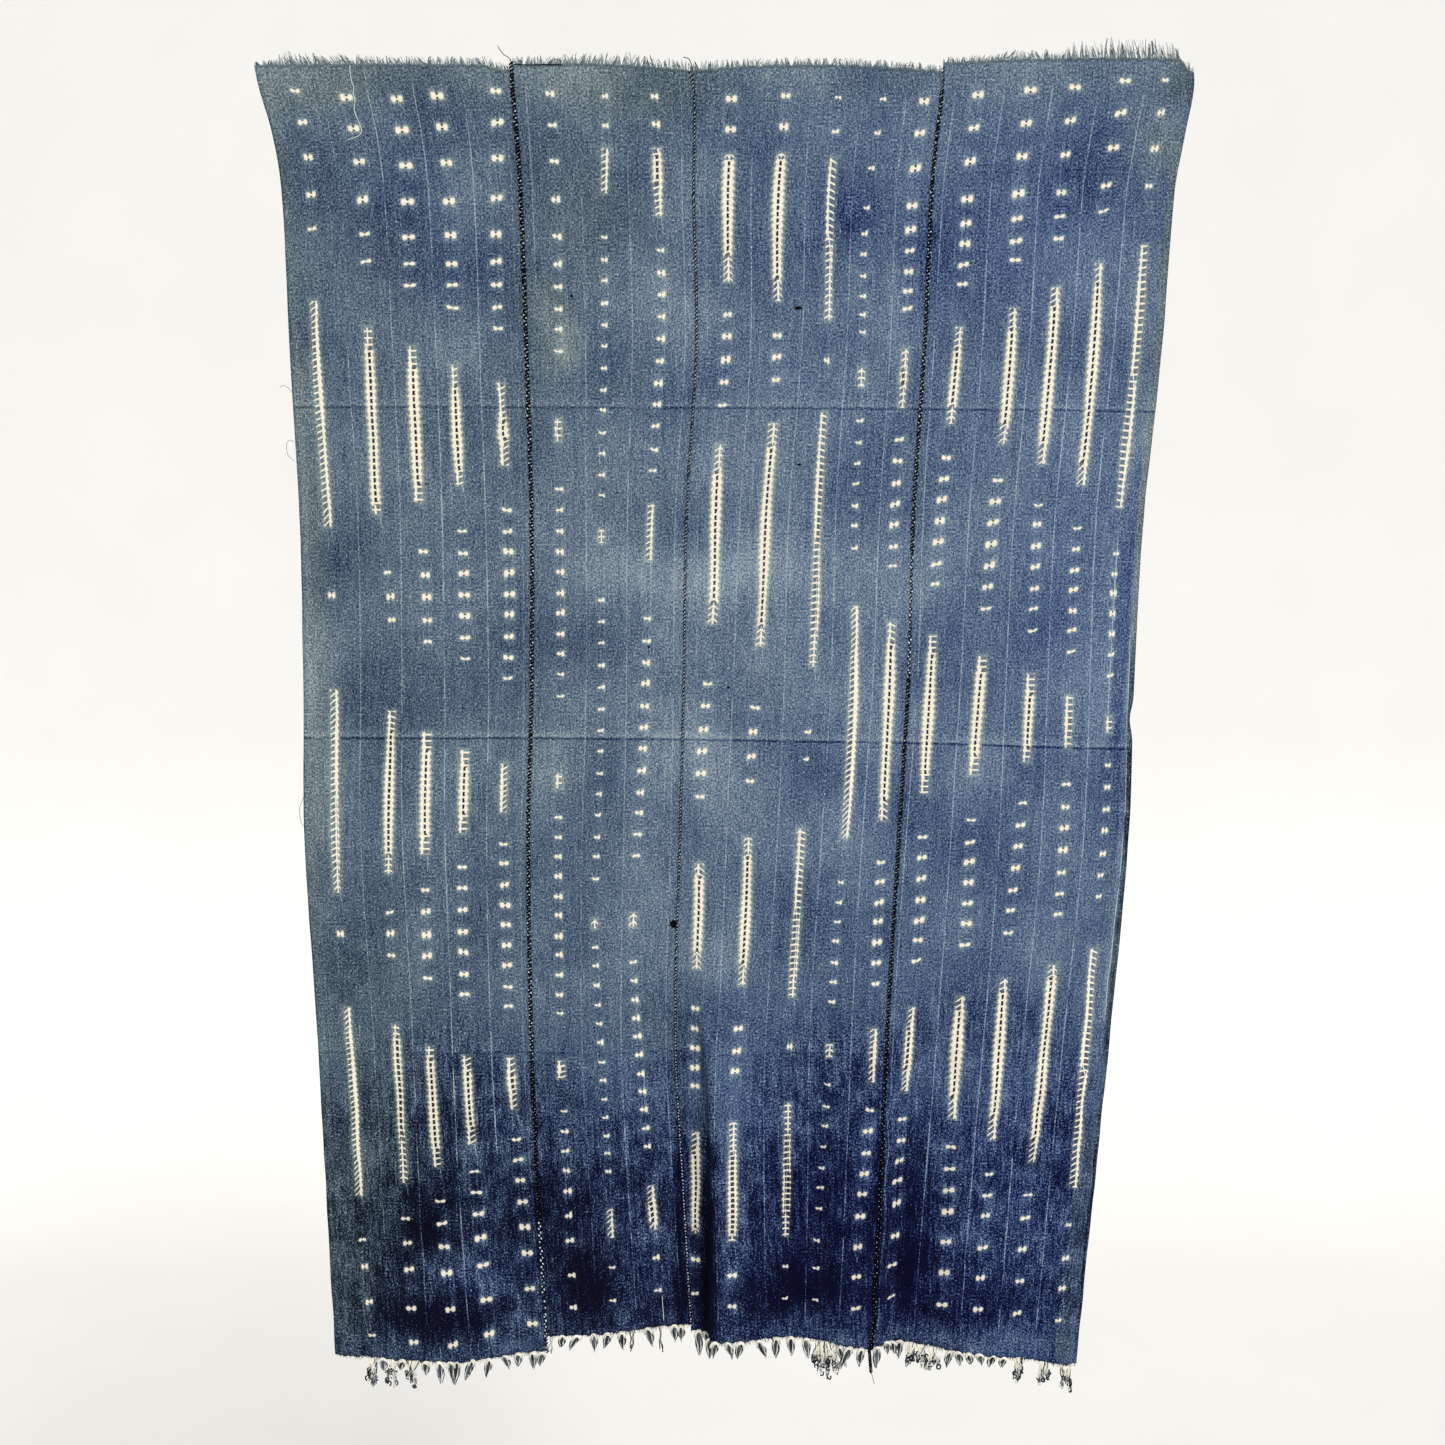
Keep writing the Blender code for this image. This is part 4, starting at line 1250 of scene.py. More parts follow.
@dataclass(frozen=True)
class IndigoCloth:
    """Hand-spun indigo cotton with resist-stitched marks, speckled weave and pale yarns, and painted shade
    and light along its storage creases.
    """

    gain: float = 0.70
    white_gain: float = 0.81
    edge_soft: float = 0.55
    slit_soft: float = 0.45
    bluest: Shades = ((178, 194, 208), (126, 147, 175), (82, 103, 142), (34, 50, 106), (5, 5, 38))
    greyest: Shades = ((182, 192, 188), (128, 143, 148), (84, 102, 116), (44, 60, 76), (6, 8, 14))

    def stops(self, shades: Shades) -> Stops:
        """The indigo from faded to deepest, at even steps of its depth."""
        return tuple((0.25 * step, linear_colour(*shade, self.gain)) for step, shade in enumerate(shades))

    def bar_cover(self, paint: Painter, wobble: Signal) -> tuple[Signal, Signal, Signal]:
        """Where stitched bars are white.

        Args:
            paint: the material under construction.
            wobble: a small unevenness in millimetres.

        Returns:
            The white, the dark between stitches, and the distance inside the bar's outline.
        """
        across, phase, half = paint.attribute("bar_line")
        body, spine, slant = paint.attribute("bar_weave")
        below_top, above_bottom, _ = paint.attribute("bar_ends")
        across = across + wobble * 0.7
        reach = (across - spine * half * 0.62).size()
        turn = (phase - slant * reach / STITCH_PITCH + wobble * 0.04).beyond_whole()
        gap = (turn - 0.26).least(turn.from_one()) * STITCH_PITCH
        open_share = body.from_one()
        window_half = (half * 1.35).toward(1.45, body.through("POWER", 0.5))
        window_at = spine * half * open_share * -1.12
        window = gap.least(window_half - (across - window_at).size())
        scallop = ((turn - 0.13) * (2.0 * math.pi)).through("COSINE") * 0.14 + 0.82
        edge = half * scallop - across.size()
        ends = below_top.least(above_bottom)
        outline = edge.least(ends)
        soft = body.rise(0.55, 0.98, 0.55)
        outer = (outline + wobble * 0.5 + soft * 0.1) / (soft + self.edge_soft)
        inner = (wobble * 0.3 - window) / self.slit_soft
        spine_line = (half * 0.21 - reach - body * 2.2 + wobble * 0.3) / self.edge_soft
        cover = inner.most(spine_line).least(outer)
        dark = window.least(outline).rise(-0.2, 0.7) * (body * 0.75 + 0.25)
        return cover.rise(-1.0, 1.0), dark, outline

    def spot_cover(self, paint: Painter, wobble: Signal) -> tuple[Signal, Signal, Signal, Signal]:
        """Where paired spots are white.

        Args:
            paint: the material under construction.
            wobble: a small unevenness in millimetres.

        Returns:
            The white, the needle holes, the distance inside, and the dye drawn along the fold.
        """
        across, below, half = paint.attribute("spot_place")
        tall, tilt, smile = paint.attribute("spot_look")
        odd, _, _ = paint.attribute("spot_odd")
        across = across + wobble * 0.7
        share = across.size() / half
        bowed = below - tilt * across - smile * (share * share).from_one() + wobble * 0.6
        height = tall * (odd * (across / half) + 1.0)
        beside = ((share - 0.58) / 0.42).size().through("POWER", 2.6)
        upright = (bowed / height).size().through("POWER", 2.6)
        lobe = (beside + upright).through("POWER", 0.385).from_one() * 2.1
        neck = (tall * 0.18 + 0.42 - bowed.size()).least((share * -1.0 + 0.6) * 4.0)
        inside = lobe.most(neck)
        hole = (share * -4.0 + 1.1).least(tall * 0.85 - bowed.size())
        cover = inside.rise(-self.edge_soft, self.edge_soft)
        dark = hole.rise(0.0, 0.5) * tall.rise(1.8, 3.0) * cover.from_one()
        bleed = share.rise(1.5, 0.5) * below.size().rise(15.0, 3.0) * tall.rise(1.6, 3.6)
        needle = across.size().rise(1.7, 0.3) * below.size().rise(17.0, 6.0) * tall.rise(1.6, 3.6)
        return cover, dark, inside * 1.3, needle - bleed * 0.8

    def grain(self, paint: Painter, depth: Signal) -> tuple[Signal, Signal]:
        """The unevenness of hand-spun yarn: specks, streaks along the warp and drifts of dye.

        Args:
            paint: the material under construction.
            depth: how deep the dye is.

        Returns:
            The unevenness to add to the dye's depth, and the specks alone.
        """
        speckle = paint.noise((1.9, 2.5), 2.0, 0.85)
        streak = paint.noise((2.4, 21.0), 2.0, 0.6)
        run = paint.noise((5.5, 95.0), 2.0, 0.55)
        pick = paint.noise((14.0, 1.8), 1.0, 0.5)
        mottle = paint.noise((24.0, 36.0), 3.0, 0.6)
        slub = paint.noise((2.3, 3.0), 0.0).rise(0.62, 0.80)
        deep = depth.rise(0.52, 0.85)
        total = (speckle - 0.5) * (deep * 1.1 + 2.1) + (streak - 0.5) * 0.42 + (pick - 0.5) * 0.12
        total = total + (mottle - 0.5) * 0.22 + (run - 0.5) * 0.22
        drawn_out = (run - 0.5) * 0.42 + (streak - 0.5) * 0.60 + (mottle - 0.5) * 0.80
        total = total + drawn_out * deep - slub * 0.16
        return total, speckle

    def material(self) -> Finish:
        """Builds the finish.

        Returns:
            The finished material.
        """
        paint = Painter("indigo resist cloth")
        right, down, _ = paint.attribute("thread")
        # The dye's depth includes painted shade at the outer edges and in a few fold hollows.
        depth, grey, _ = paint.attribute("dye")
        wobble = (paint.noise((2.4, 2.4), 1.0) - 0.5) * 2.6
        bar, bar_dark, bar_out = self.bar_cover(paint, wobble)
        spot, spot_dark, spot_out, drawn = self.spot_cover(paint, wobble)
        body, _, _ = paint.attribute("bar_weave")
        yarn_at, yarn_clear, _ = paint.attribute("pale_yarn")
        beside, beneath, crease_off = paint.attribute("flaw")
        uneven, speckle = self.grain(paint, depth)

        outline = bar_out.most(spot_out)
        halo = outline.rise(-9.0, 0.5, 0.09) + outline.rise(-3.5, 0.3, 0.08)
        yarn_break = paint.noise((30.0, 60.0), 2.0).rise(0.28, 0.52)
        yarn = yarn_at.size().rise(0.95, 0.30) * yarn_clear * yarn_break
        # Painted shade along each storage crease line, and painted light on a band just above it.
        clear = down.rise(0.55, 0.65, 0.40) - down.rise(0.95, 1.05, 0.95) + 0.85
        crease = crease_off.size().rise(2.3, 0.5) * clear
        crease = crease * paint.noise((50.0, 400.0), 2.0).rise(0.26, 0.52)
        paler = crease_off.rise(-13.0, -2.0) * crease_off.rise(1.0, -1.0) * clear * 0.10

        tone = depth + uneven - halo - paler - yarn * (depth.rise(0.5, 0.9, 0.22) + 0.38) + crease * 0.27
        tone = tone + drawn * depth.rise(0.35, 0.85, 0.22)
        tone = tone + bar_dark.most(spot_dark) * 0.66
        blue = paint.ramp(tone, self.stops(self.bluest))
        dull = paint.ramp(tone, self.stops(self.greyest))
        colour = paint.mixed(grey, blue, dull)
        near_bar = bar_out.rise(-4.6, 0.2) * (body * 0.52 + 0.20)
        near_spot = spot_out.rise(-2.6, 0.2) * 0.36
        fringe = near_bar.most(near_spot) * bar_dark.most(spot_dark).from_one()
        fringe_colour = linear_colour(176, 184, 156, self.white_gain)
        colour = paint.mixed(fringe * depth.rise(1.3, 0.4), colour, fringe_colour)
        white = paint.ramp(
            speckle * 0.9 + wobble * 0.12 + 0.05,
            (
                (0.15, linear_colour(196, 186, 160, self.white_gain)),
                (0.5, linear_colour(246, 238, 218, self.white_gain)),
                (0.8, linear_colour(255, 251, 240, self.white_gain)),
            ),
        )
        cover = bar.most(spot)
        shade = depth.rise(0.55, 1.0, 0.16)
        colour = paint.mixed(cover * shade.from_one(), colour, white)
        blot = (beside * beside + beneath * beneath).rise(1.25, 0.75)
        colour = paint.mixed(blot, colour, linear_colour(6, 6, 12))

        warp = (right * (2.0 * math.pi / (WARP_PITCH * MM))).through("SINE")
        weft = (down * (2.0 * math.pi / (WEFT_PITCH * MM))).through("SINE")
        height = warp * weft * 0.20 + speckle * 0.8 + uneven * -0.4
        height = height + cover * 0.25 - bar_dark * 0.5 - crease * 0.6
        paint.bump(height, 0.45, 0.75)
        return paint.finish(colour, roughness=0.95, sheen=0.0)


@dataclass(frozen=True)
class YarnFinish:
    """Cotton yarn whose shade follows its own tone: pale at 0, dyed or black at 1."""

    name: str
    pale: tuple[int, int, int]
    middle: tuple[int, int, int]
    dark: tuple[int, int, int]
    gain: float = 0.80
    uneven: float = 0.5

    def material(self) -> Finish:
        """Builds the finish.

        Returns:
            The finished material.
        """
        paint = Painter(self.name)
        tone, _, _ = paint.attribute("yarn_tone")
        fibre = paint.noise((0.9, 0.9, 1.6), 2.0, source="")
        shaded = tone + (fibre - 0.5) * self.uneven
        stops = ((0.05, self.pale), (0.5, self.middle), (0.95, self.dark))
        shades = tuple((place, linear_colour(*shade, self.gain)) for place, shade in stops)
        colour = paint.ramp(shaded, shades)
        paint.bump(fibre, 0.25, 0.6)
        return paint.finish(colour, roughness=0.9, sheen=0.0)


def store(mesh: bpy.types.Mesh, name: str, domain: str, values: Array) -> None:
    """Stores three numbers for every point or corner of a mesh.

    Args:
        mesh: the mesh.
        name: the attribute that a finish reads.
        domain: POINT or CORNER.
        values: the numbers, three for each.
    """
    flat = values.astype(np.float32).ravel()
    mesh.attributes.new(name, "FLOAT_VECTOR", domain).data.foreach_set("vector", flat)


def placed(name: str, data: bpy.types.ID) -> Piece:
    """Puts new data into the scene.

    Args:
        name: the name of the object.
        data: its mesh, camera or light.

    Returns:
        The object.
    """
    made = bpy.data.objects.new(name, data)
    bpy.context.scene.collection.objects.link(made)
    return made


class Skein:
    """Many short lengths of yarn in one piece, each bent from the same modelled length."""

    def __init__(self, rings: int, sides: int) -> None:
        """Models one straight length of yarn with a few rings and sides.

        Args:
            rings: how many rings it has.
            sides: how many sides.
        """
        self.rings = rings
        bpy.ops.object.select_all(action="DESELECT")
        bpy.ops.mesh.primitive_circle_add(vertices=sides, radius=1.0, fill_type="NGON")
        bpy.ops.object.mode_set(mode="EDIT")
        bpy.ops.mesh.select_all(action="SELECT")
        for _ in range(rings - 1):
            bpy.ops.mesh.extrude_region_move(TRANSFORM_OT_translate={"value": (0.0, 0.0, 1.0)})
        bpy.ops.mesh.select_all(action="SELECT")
        bpy.ops.mesh.normals_make_consistent(inside=False)
        bpy.ops.object.mode_set(mode="OBJECT")
        length = bpy.context.view_layer.objects.active
        self.faces = [tuple(face.vertices) for face in length.data.polygons]
        corners = np.array([vertex.co[:] for vertex in length.data.vertices])
        self.ring = np.rint(corners[:, 2]).astype(int)
        self.round = corners[:, :2]
        bpy.data.objects.remove(length)
        self.paths: list[Array] = []
        self.radii: list[Array] = []
        self.tones: list[Array] = []

    def lay(self, path: Array, radius: Array | float, tone: Array | float) -> None:
        """Adds one yarn.

        Args:
            path: the points that its middle follows, as many as it has rings.
            radius: its radius, or one for each ring.
            tone: its tone, or one for each ring.
        """
        self.paths.append(np.asarray(path, float))
        self.radii.append(np.broadcast_to(np.asarray(radius, float), (self.rings,)))
        self.tones.append(np.broadcast_to(np.asarray(tone, float), (self.rings,)))

    def build(self, name: str, material: Finish) -> Piece:
        """Bends a copy of the modelled length along every path and joins them.

        Args:
            name: the piece's name.
            material: the yarn's finish.

        Returns:
            The new object.
        """
        paths, radii, tones = np.stack(self.paths), np.stack(self.radii), np.stack(self.tones)
        along = unit(np.gradient(paths, axis=1))
        guide = np.where(np.abs(along[..., 1:2]) < 0.9, np.array([0.0, 1.0, 0.0]), np.array([1.0, 0.0, 0.0]))
        side = unit(np.cross(along, guide))
        lift = np.cross(side, along)
        middle, radius = paths[:, self.ring], radii[:, self.ring, None]
        turn_x, turn_y = self.round[:, 0:1], self.round[:, 1:2]
        points = middle + radius * (side[:, self.ring] * turn_x + lift[:, self.ring] * turn_y)
        count = len(self.ring)
        faces = [tuple(c + count * index for c in face) for index in range(len(paths)) for face in self.faces]
        mesh = bpy.data.meshes.new(name)
        mesh.from_pydata(points.reshape(-1, 3).tolist(), [], faces)
        tone = np.zeros((points.shape[0] * count, 3))
        tone[:, 0] = tones[:, self.ring].ravel()
        store(mesh, "yarn_tone", "POINT", tone)
        mesh.materials.append(material)
        mesh.shade_smooth()
        return placed(name, mesh)


@dataclass
class ClothSheet:
    """One woven strip as a closed thin sheet in its folds."""

    hang: Hang
    strip: Strip
    cell_across: float = 0.0034
    cell_down: float = 0.0045

    def build(self, material: Finish) -> Piece:
        """Makes the sheet and tells its faces what is dyed, stitched and woven there, and where shade is
        painted.

        Args:
            material: the cloth's finish.

        Returns:
            The new object.
        """
        columns = round(self.strip.woven_width / self.cell_across)
        rows = round(self.strip.woven_length / self.cell_down)
        share, run = np.meshgrid(np.linspace(0.0, 1.0, columns + 1), np.linspace(0.0, 1.0, rows + 1))
        top, hem = self.hang.top(self.strip, share), self.hang.hem(self.strip, share)
        drop = top + (hem - top) * run
        across = self.hang.across(self.strip, share, drop)
        middle = self.hang.point(across, drop)
        out = self.hang.facing(across, drop)
        relief = self.hang.relief(across, drop)[..., None]
        front = middle + out * (relief + 0.5 * CLOTH_THICKNESS)
        back = middle + out * (relief - 0.5 * CLOTH_THICKNESS)
        points = np.concatenate([front.reshape(-1, 3), back.reshape(-1, 3)])
        faces = self.faces(rows, columns)
        name = f"cloth_strip_{self.strip.number}"
        mesh = bpy.data.meshes.new(name)
        mesh.from_pydata(points.tolist(), [], faces.tolist())
        mesh.materials.append(material)
        mesh.shade_smooth()
        flat = [np.tile(part.ravel(), 2) for part in (share, drop, across)]
        self.tell_marks(mesh, columns + 1, *flat)
        return placed(name, mesh)

    @staticmethod
    def faces(rows: int, columns: int) -> Array:
        """Four corners of every face of a closed sheet of the given grid.

        Args:
            rows: cells down the sheet.
            columns: cells across it.

        Returns:
            Four point numbers for each face.
        """
        grid = np.arange((rows + 1) * (columns + 1)).reshape(rows + 1, columns + 1)
        behind = grid + grid.size
        front = np.stack([grid[:-1, :-1], grid[1:, :-1], grid[1:, 1:], grid[:-1, 1:]], axis=-1).reshape(-1, 4)
        parts = [front, front[:, ::-1] + grid.size]
        for line, other, turned in (
            (grid[:, 0], behind[:, 0], False),
            (grid[:, -1], behind[:, -1], True),
            (grid[0], behind[0], True),
            (grid[-1], behind[-1], False),
        ):
            wall = np.stack([line[:-1], other[:-1], other[1:], line[1:]], axis=-1)
            parts.append(wall[:, ::-1] if turned else wall)
        return np.concatenate(parts)

    @staticmethod
    def bake_map(corners: Array, share: Array, run: Array, count: int) -> Array:
        """A flat map: the front on its left half, the back on its right, the edges in its margins.

        Args:
            corners: the four corner points of every face.
            share: share of the strip's width at each point.
            run: share of its length at each point, 1 at the top.
            count: how many points each side has; the back's points follow the front's.

        Returns:
            The map's places, two numbers for each corner.
        """
        behind = corners >= count
        share, run = share[corners], run[corners]
        back, edge = behind.all(axis=1), behind.any(axis=1) & ~behind.all(axis=1)
        right_half = MAP_WIDTH + 2.0 * MAP_MARGIN
        across = MAP_MARGIN + MAP_WIDTH * share + np.where(back, right_half, 0.0)[:, None]
        along = MAP_LOW + MAP_SPAN * run
        upright = edge & (np.ptp(share, axis=1) < 1e-6)
        level = edge & ~upright
        thin = MAP_MARGIN * behind
        right, low = share.mean(axis=1) > 0.5, run.mean(axis=1) < 0.5
        across[upright] = (1.0 - 6.0 * MAP_MARGIN + thin + 3.0 * MAP_MARGIN * right[:, None])[upright]
        along[level] = (0.5 * MAP_MARGIN + thin)[level]
        across[level & low] += right_half
        return np.stack([across, along], axis=-1).astype(np.float32).ravel()

    def tell_marks(
        self, mesh: bpy.types.Mesh, columns: int, share: Array, drop: Array, across: Array
    ) -> None:
        """Stores what the finish reads at points and corners, and the map that the pattern bakes on.

        Args:
            mesh: the sheet's mesh.
            columns: how many points lie across it.
            share: share of the width at each point.
            drop: distance below the top edge at each point.
            across: x on the front view at each point.
        """
        width = self.hang.across(self.strip, 1.0, drop) - self.hang.across(self.strip, 0.0, drop)
        order = np.zeros(len(mesh.loops), np.int32)
        mesh.loops.foreach_get("vertex_index", order)
        corners = order.reshape(-1, 4)
        values = Marks(self.strip).corner_values(share[corners], drop[corners], width[corners])
        values["flaw"] = DyeAndShade.flaws(across[corners], drop[corners])
        for name, value in values.items():
            store(mesh, name, "CORNER", value)
        count = len(drop) // 2
        run = np.tile(np.repeat(np.linspace(1.0, 0.0, round(count / columns)), columns), 2)
        mesh.uv_layers.new(name="OFBake").data.foreach_set("uv", self.bake_map(corners, share, run, count))
        thread = np.stack([share * width, drop, np.full_like(drop, self.strip.number * 7.0)], axis=-1)
        # The dye attribute holds the dye's depth and greyness together with their painted shade.
        for name, value in (("thread", thread), ("dye", DyeAndShade(self.hang).tones(across, drop))):
            store(mesh, name, "POINT", value)


class Lacing(NamedTuple):
    """A stretch of whip stitches along a seam, in metres."""

    first: float
    last: float
    pitch: float
    reach: float
    radius: float
    slant: float
    tone: float
    bead: float


PALE_RIGHT_SEAM = 2
LACINGS = {
    1: (
        Lacing(-0.001, 1.180, 0.0038, 0.0024, 0.00120, 0.0016, 1.00, 0.00085),
        Lacing(1.180, 1.370, 0.0038, 0.0026, 0.00130, 0.0016, 1.00, 0.00045),
        Lacing(1.370, 1.548, 0.0042, 0.0018, 0.00090, 0.0018, 0.96, 0.00120),
    ),
    2: (
        Lacing(0.008, 1.200, 0.0042, 0.0017, 0.00080, 0.0024, 0.95, 0.00056),
        Lacing(1.200, 1.514, 0.0042, 0.0016, 0.00080, 0.0024, 1.00, 0.00085),
    ),
    3: (
        Lacing(0.004, 0.028, 0.0040, 0.0021, 0.00060, 0.0022, 0.95, 0.00040),
        Lacing(0.028, 0.545, 0.0039, 0.0023, 0.00115, 0.0018, 1.00, 0.00080),
        Lacing(0.545, 0.690, 0.0040, 0.0018, 0.00080, 0.0026, 1.00, 0.00110),
        Lacing(0.690, 1.534, 0.0038, 0.0024, 0.00120, 0.0016, 1.00, 0.00050),
    ),
}


@dataclass
class SeamLacing:
    """The whip stitches that hold two strips edge to edge, with pale loops between them."""

    hang: Hang
    number: int

    def build(self, material: Finish) -> Piece:
        """Lays every stitch of one seam.

        Args:
            material: the thread's finish.

        Returns:
            The new object.
        """
        chance = np.random.default_rng(LACING_SEED + self.number)
        skein = Skein(rings=7, sides=6)
        turn = np.linspace(-1.0, 1.0, 7)
        arch = 1.0 - turn**2
        for stretch in LACINGS[self.number]:
            for index, start in enumerate(np.arange(stretch.first, stretch.last, stretch.pitch)):
                drop = start + chance.uniform(-0.15, 0.15) * stretch.pitch
                middle = self.hang.line(self.number, drop) + chance.uniform(-0.0003, 0.0003)
                reach = stretch.reach * chance.uniform(0.9, 1.12)
                across = middle + reach * turn
                drops = drop - stretch.slant * turn * chance.uniform(0.8, 1.2)
                above = stretch.radius * (1.5 * arch - 0.55)
                path = self.hang.on_cloth(across, drops, above)
                profile = stretch.radius * (0.72 + 0.28 * arch) * chance.uniform(0.9, 1.1)
                skein.lay(path, profile, stretch.tone + chance.uniform(-0.04, 0.04))
                side = 1.0 if index % 2 or self.number == PALE_RIGHT_SEAM else -1.0
                if chance.uniform() < 0.82:
                    beside = middle + side * reach * 0.55
                    self.lay_bead(skein, stretch, beside, drop + 0.5 * stretch.pitch, chance)
        return skein.build(f"seam_lacing_{self.number}", material)

    def lay_bead(
        self, skein: Skein, stretch: Lacing, across: float, drop: float, chance: Chance
    ) -> None:
        """A short pale loop of thread that stands up between two stitches.

        Args:
            skein: the yarns laid so far.
            stretch: the stretch of stitches.
            across: x on the front view.
            drop: distance below the top edge.
            chance: the random draws.
        """
        turn = np.linspace(-1.0, 1.0, skein.rings)
        size = stretch.bead * chance.uniform(0.45, 0.95)
        above = stretch.radius + 0.3 * size
        path = self.hang.on_cloth(across + 0.5 * size * turn, drop + 1.3 * size * turn, above)
        skein.lay(path, size * np.sqrt(np.maximum(1.0 - turn**2, 0.06)), chance.uniform(0.0, 0.26))


class FrayLevel(NamedTuple):
    """How high and how leaning the warp ends stand at one share of a top edge, in millimetres."""

    strip: int
    share: float
    height: float
    lean: float


FRAY_LEVELS = tuple(
    FrayLevel(*row)
    for row in (
        (1, 0, 3, -1), (1, 0.08, 5.5, -1.5), (1, 0.11, 12, -3), (1, 0.2, 11.5, -5), (1, 0.32, 9.5, -5.5),
        (1, 0.45, 9, -3), (1, 0.62, 8, -1), (1, 0.8, 8.5, -1), (1, 0.93, 9, -1.5), (1, 1, 7, 0),
        (2, 0, 8, -1), (2, 0.2, 8.5, 2), (2, 0.45, 10.5, 2.5), (2, 0.72, 12, 1), (2, 0.93, 11, -1),
        (2, 1, 9, -2), (3, 0, 9.5, -1), (3, 0.2, 8, 0), (3, 0.5, 7.5, 1), (3, 0.8, 7, 0), (3, 1, 7, 0),
        (4, 0, 6, -1), (4, 0.2, 6, 1), (4, 0.25, 8, 4), (4, 0.28, 10.5, 6), (4, 0.33, 7.5, 2),
        (4, 0.39, 12, -3), (4, 0.44, 6, 0), (4, 0.49, 11, 1), (4, 0.54, 16, -1.5), (4, 0.68, 18.5, -3),
        (4, 0.82, 19, -3), (4, 0.91, 17, -3.5), (4, 0.96, 10, -2), (4, 1, 6, 1),
    )
)


@dataclass
class TopFray:
    """The strip's own warp, left free above its top edge."""

    hang: Hang
    strip: Strip
    spacing: float = 0.00050
    tuft: float = 0.0031
    radius: float = 0.00042

    def build(self, material: Finish) -> Piece:
        """Stands every free warp end on the top edge.

        Args:
            material: the yarn's finish.

        Returns:
            The new object.
        """
        chance = np.random.default_rng(FRAY_SEED + self.strip.number)
        levels = [level for level in FRAY_LEVELS if level.strip == self.strip.number]
        shares = np.array([level.share for level in levels])
        heights = np.array([level.height for level in levels]) * MM
        leans = np.array([level.lean for level in levels]) * MM
        skein = Skein(rings=6, sides=4)
        rise = np.linspace(0.0, 1.0, 6)
        tufts = round(self.strip.woven_width / self.tuft) + 1
        tuft_lean, tuft_height = chance.normal(0.0, 0.0022, tufts), chance.uniform(0.72, 1.12, tufts)
        tuft_tone = chance.uniform(-0.16, 0.16, tufts)
        for index, start in enumerate(np.arange(0.001, self.strip.woven_width - 0.001, self.spacing)):
            which = int(start / self.tuft)
            gather = (which + 0.5) * self.tuft - start
            at = start + chance.uniform(-0.0006, 0.0006)
            share = float(np.clip(at / self.strip.woven_width, 0.0, 1.0))
            drop = float(self.hang.top(self.strip, share))
            foot = self.hang.point(self.hang.across(self.strip, share, drop), np.float64(drop))
            short = index % 2 == 0
            root = chance.uniform(0.0008, 0.0034)
            height = np.interp(share, shares, heights) * tuft_height[which]
            height = height * (chance.uniform(0.25, 0.60) if short else chance.uniform(0.70, 1.08))
            lean = np.interp(share, shares, leans) + tuft_lean[which] + 0.7 * gather
            lean = lean + chance.normal(0.0, 0.0006)
            bow = chance.normal(0.0, 0.0006)
            out = chance.uniform(-0.0014, 0.0006)
            path = np.stack(
                [
                    foot[0] + lean * rise**1.5 + bow * np.sin(math.pi * rise),
                    foot[1] - 0.0009 * (1.0 - rise) + out * rise + chance.uniform(-0.0003, 0.0003),
                    foot[2] - root + (height + root) * rise,
                ],
                axis=-1,
            )
            end = chance.choice((0.40, 0.55, 0.65) if short else (0.10, 0.35, 0.50, 0.75, 0.95))
            tone = 0.45 + (end + tuft_tone[which] - 0.45) * eased(rise * 1.6)
            skein.lay(path, self.radius * chance.uniform(0.75, 1.30) * (1.0 - 0.5 * rise), tone)
        return skein.build(f"top_fray_{self.strip.number}", material)


class TasselKind(Enum):
    """How a bunch of warp ends is finished under the hem."""

    KNOT = "small knot with a short pointed tail"
    LOOSE = "a few thin strands"
    MOP = "wide tuft of pale strands that end in dark curls"
    CORD = "black braided end of a seam's thread"


KNOT, LOOSE, MOP, CORD = TasselKind


class Tassel(NamedTuple):
    """One tassel: its place across at the hem, its length and its sway, in millimetres."""

    strip: int
    across: float
    length: float
    sway: float
    kind: TasselKind = KNOT


TASSELS = tuple(
    Tassel(*row)
    for row in (
        (1, -443, 41, -1, MOP), (1, -430, 13, -1), (1, -417, 38, -3, MOP), (1, -405, 11, 0),
        (1, -391, 36, -3, MOP), (1, -375, 15, -2), (1, -358, 24, -1), (1, -343, 23, 0), (1, -335, 26, -1),
        (1, -317, 22, -5), (1, -296, 20, -3), (1, -277, 16, 2), (1, -260, 15, -1), (1, -241, 20, 3),
        (1, -230, 15, 0), (2, -216, 25, -3, LOOSE), (2, -203, 13, -1), (2, -185, 16, -6), (2, -163, 21, 1),
        (2, -145, 18, -4), (2, -128, 19, 2), (2, -115, 30, -2, LOOSE), (2, -96, 22, 0),
        (2, -80, 34, 1, LOOSE), (2, -63, 19, 1), (2, -54, 18, 1), (3, -32, 28, 2), (3, -23, 19, 0),
        (3, -14, 22, 0), (3, -4, 18, -1), (3, 11, 18, 0), (3, 26, 18, -1), (3, 47, 20, 3), (3, 66, 23, -1),
        (3, 84, 21, 0), (3, 103, 22, 1), (3, 120, 40, -5, MOP), (3, 127, 50, -1, MOP),
        (3, 135, 44, 2, MOP), (3, 145, 25, 2), (3, 157, 24, -3), (3, 171, 20, 2), (3, 181, 37, 3, CORD),
        (4, 192, 23, 1), (4, 206, 14, 1), (4, 212, 14, 0), (4, 222, 20, 2), (4, 236, 34, -1, MOP),
        (4, 250, 34, 0, MOP), (4, 264, 33, 1, MOP), (4, 284, 18, 2), (4, 294, 15, 0), (4, 307, 12, 0),
        (4, 321, 12, 2), (4, 338, 13, 0), (4, 351, 12, -1), (4, 370, 33, 0, MOP), (4, 402, 33, 0, MOP),
        (4, 430, 36, 1, MOP),
    )
)


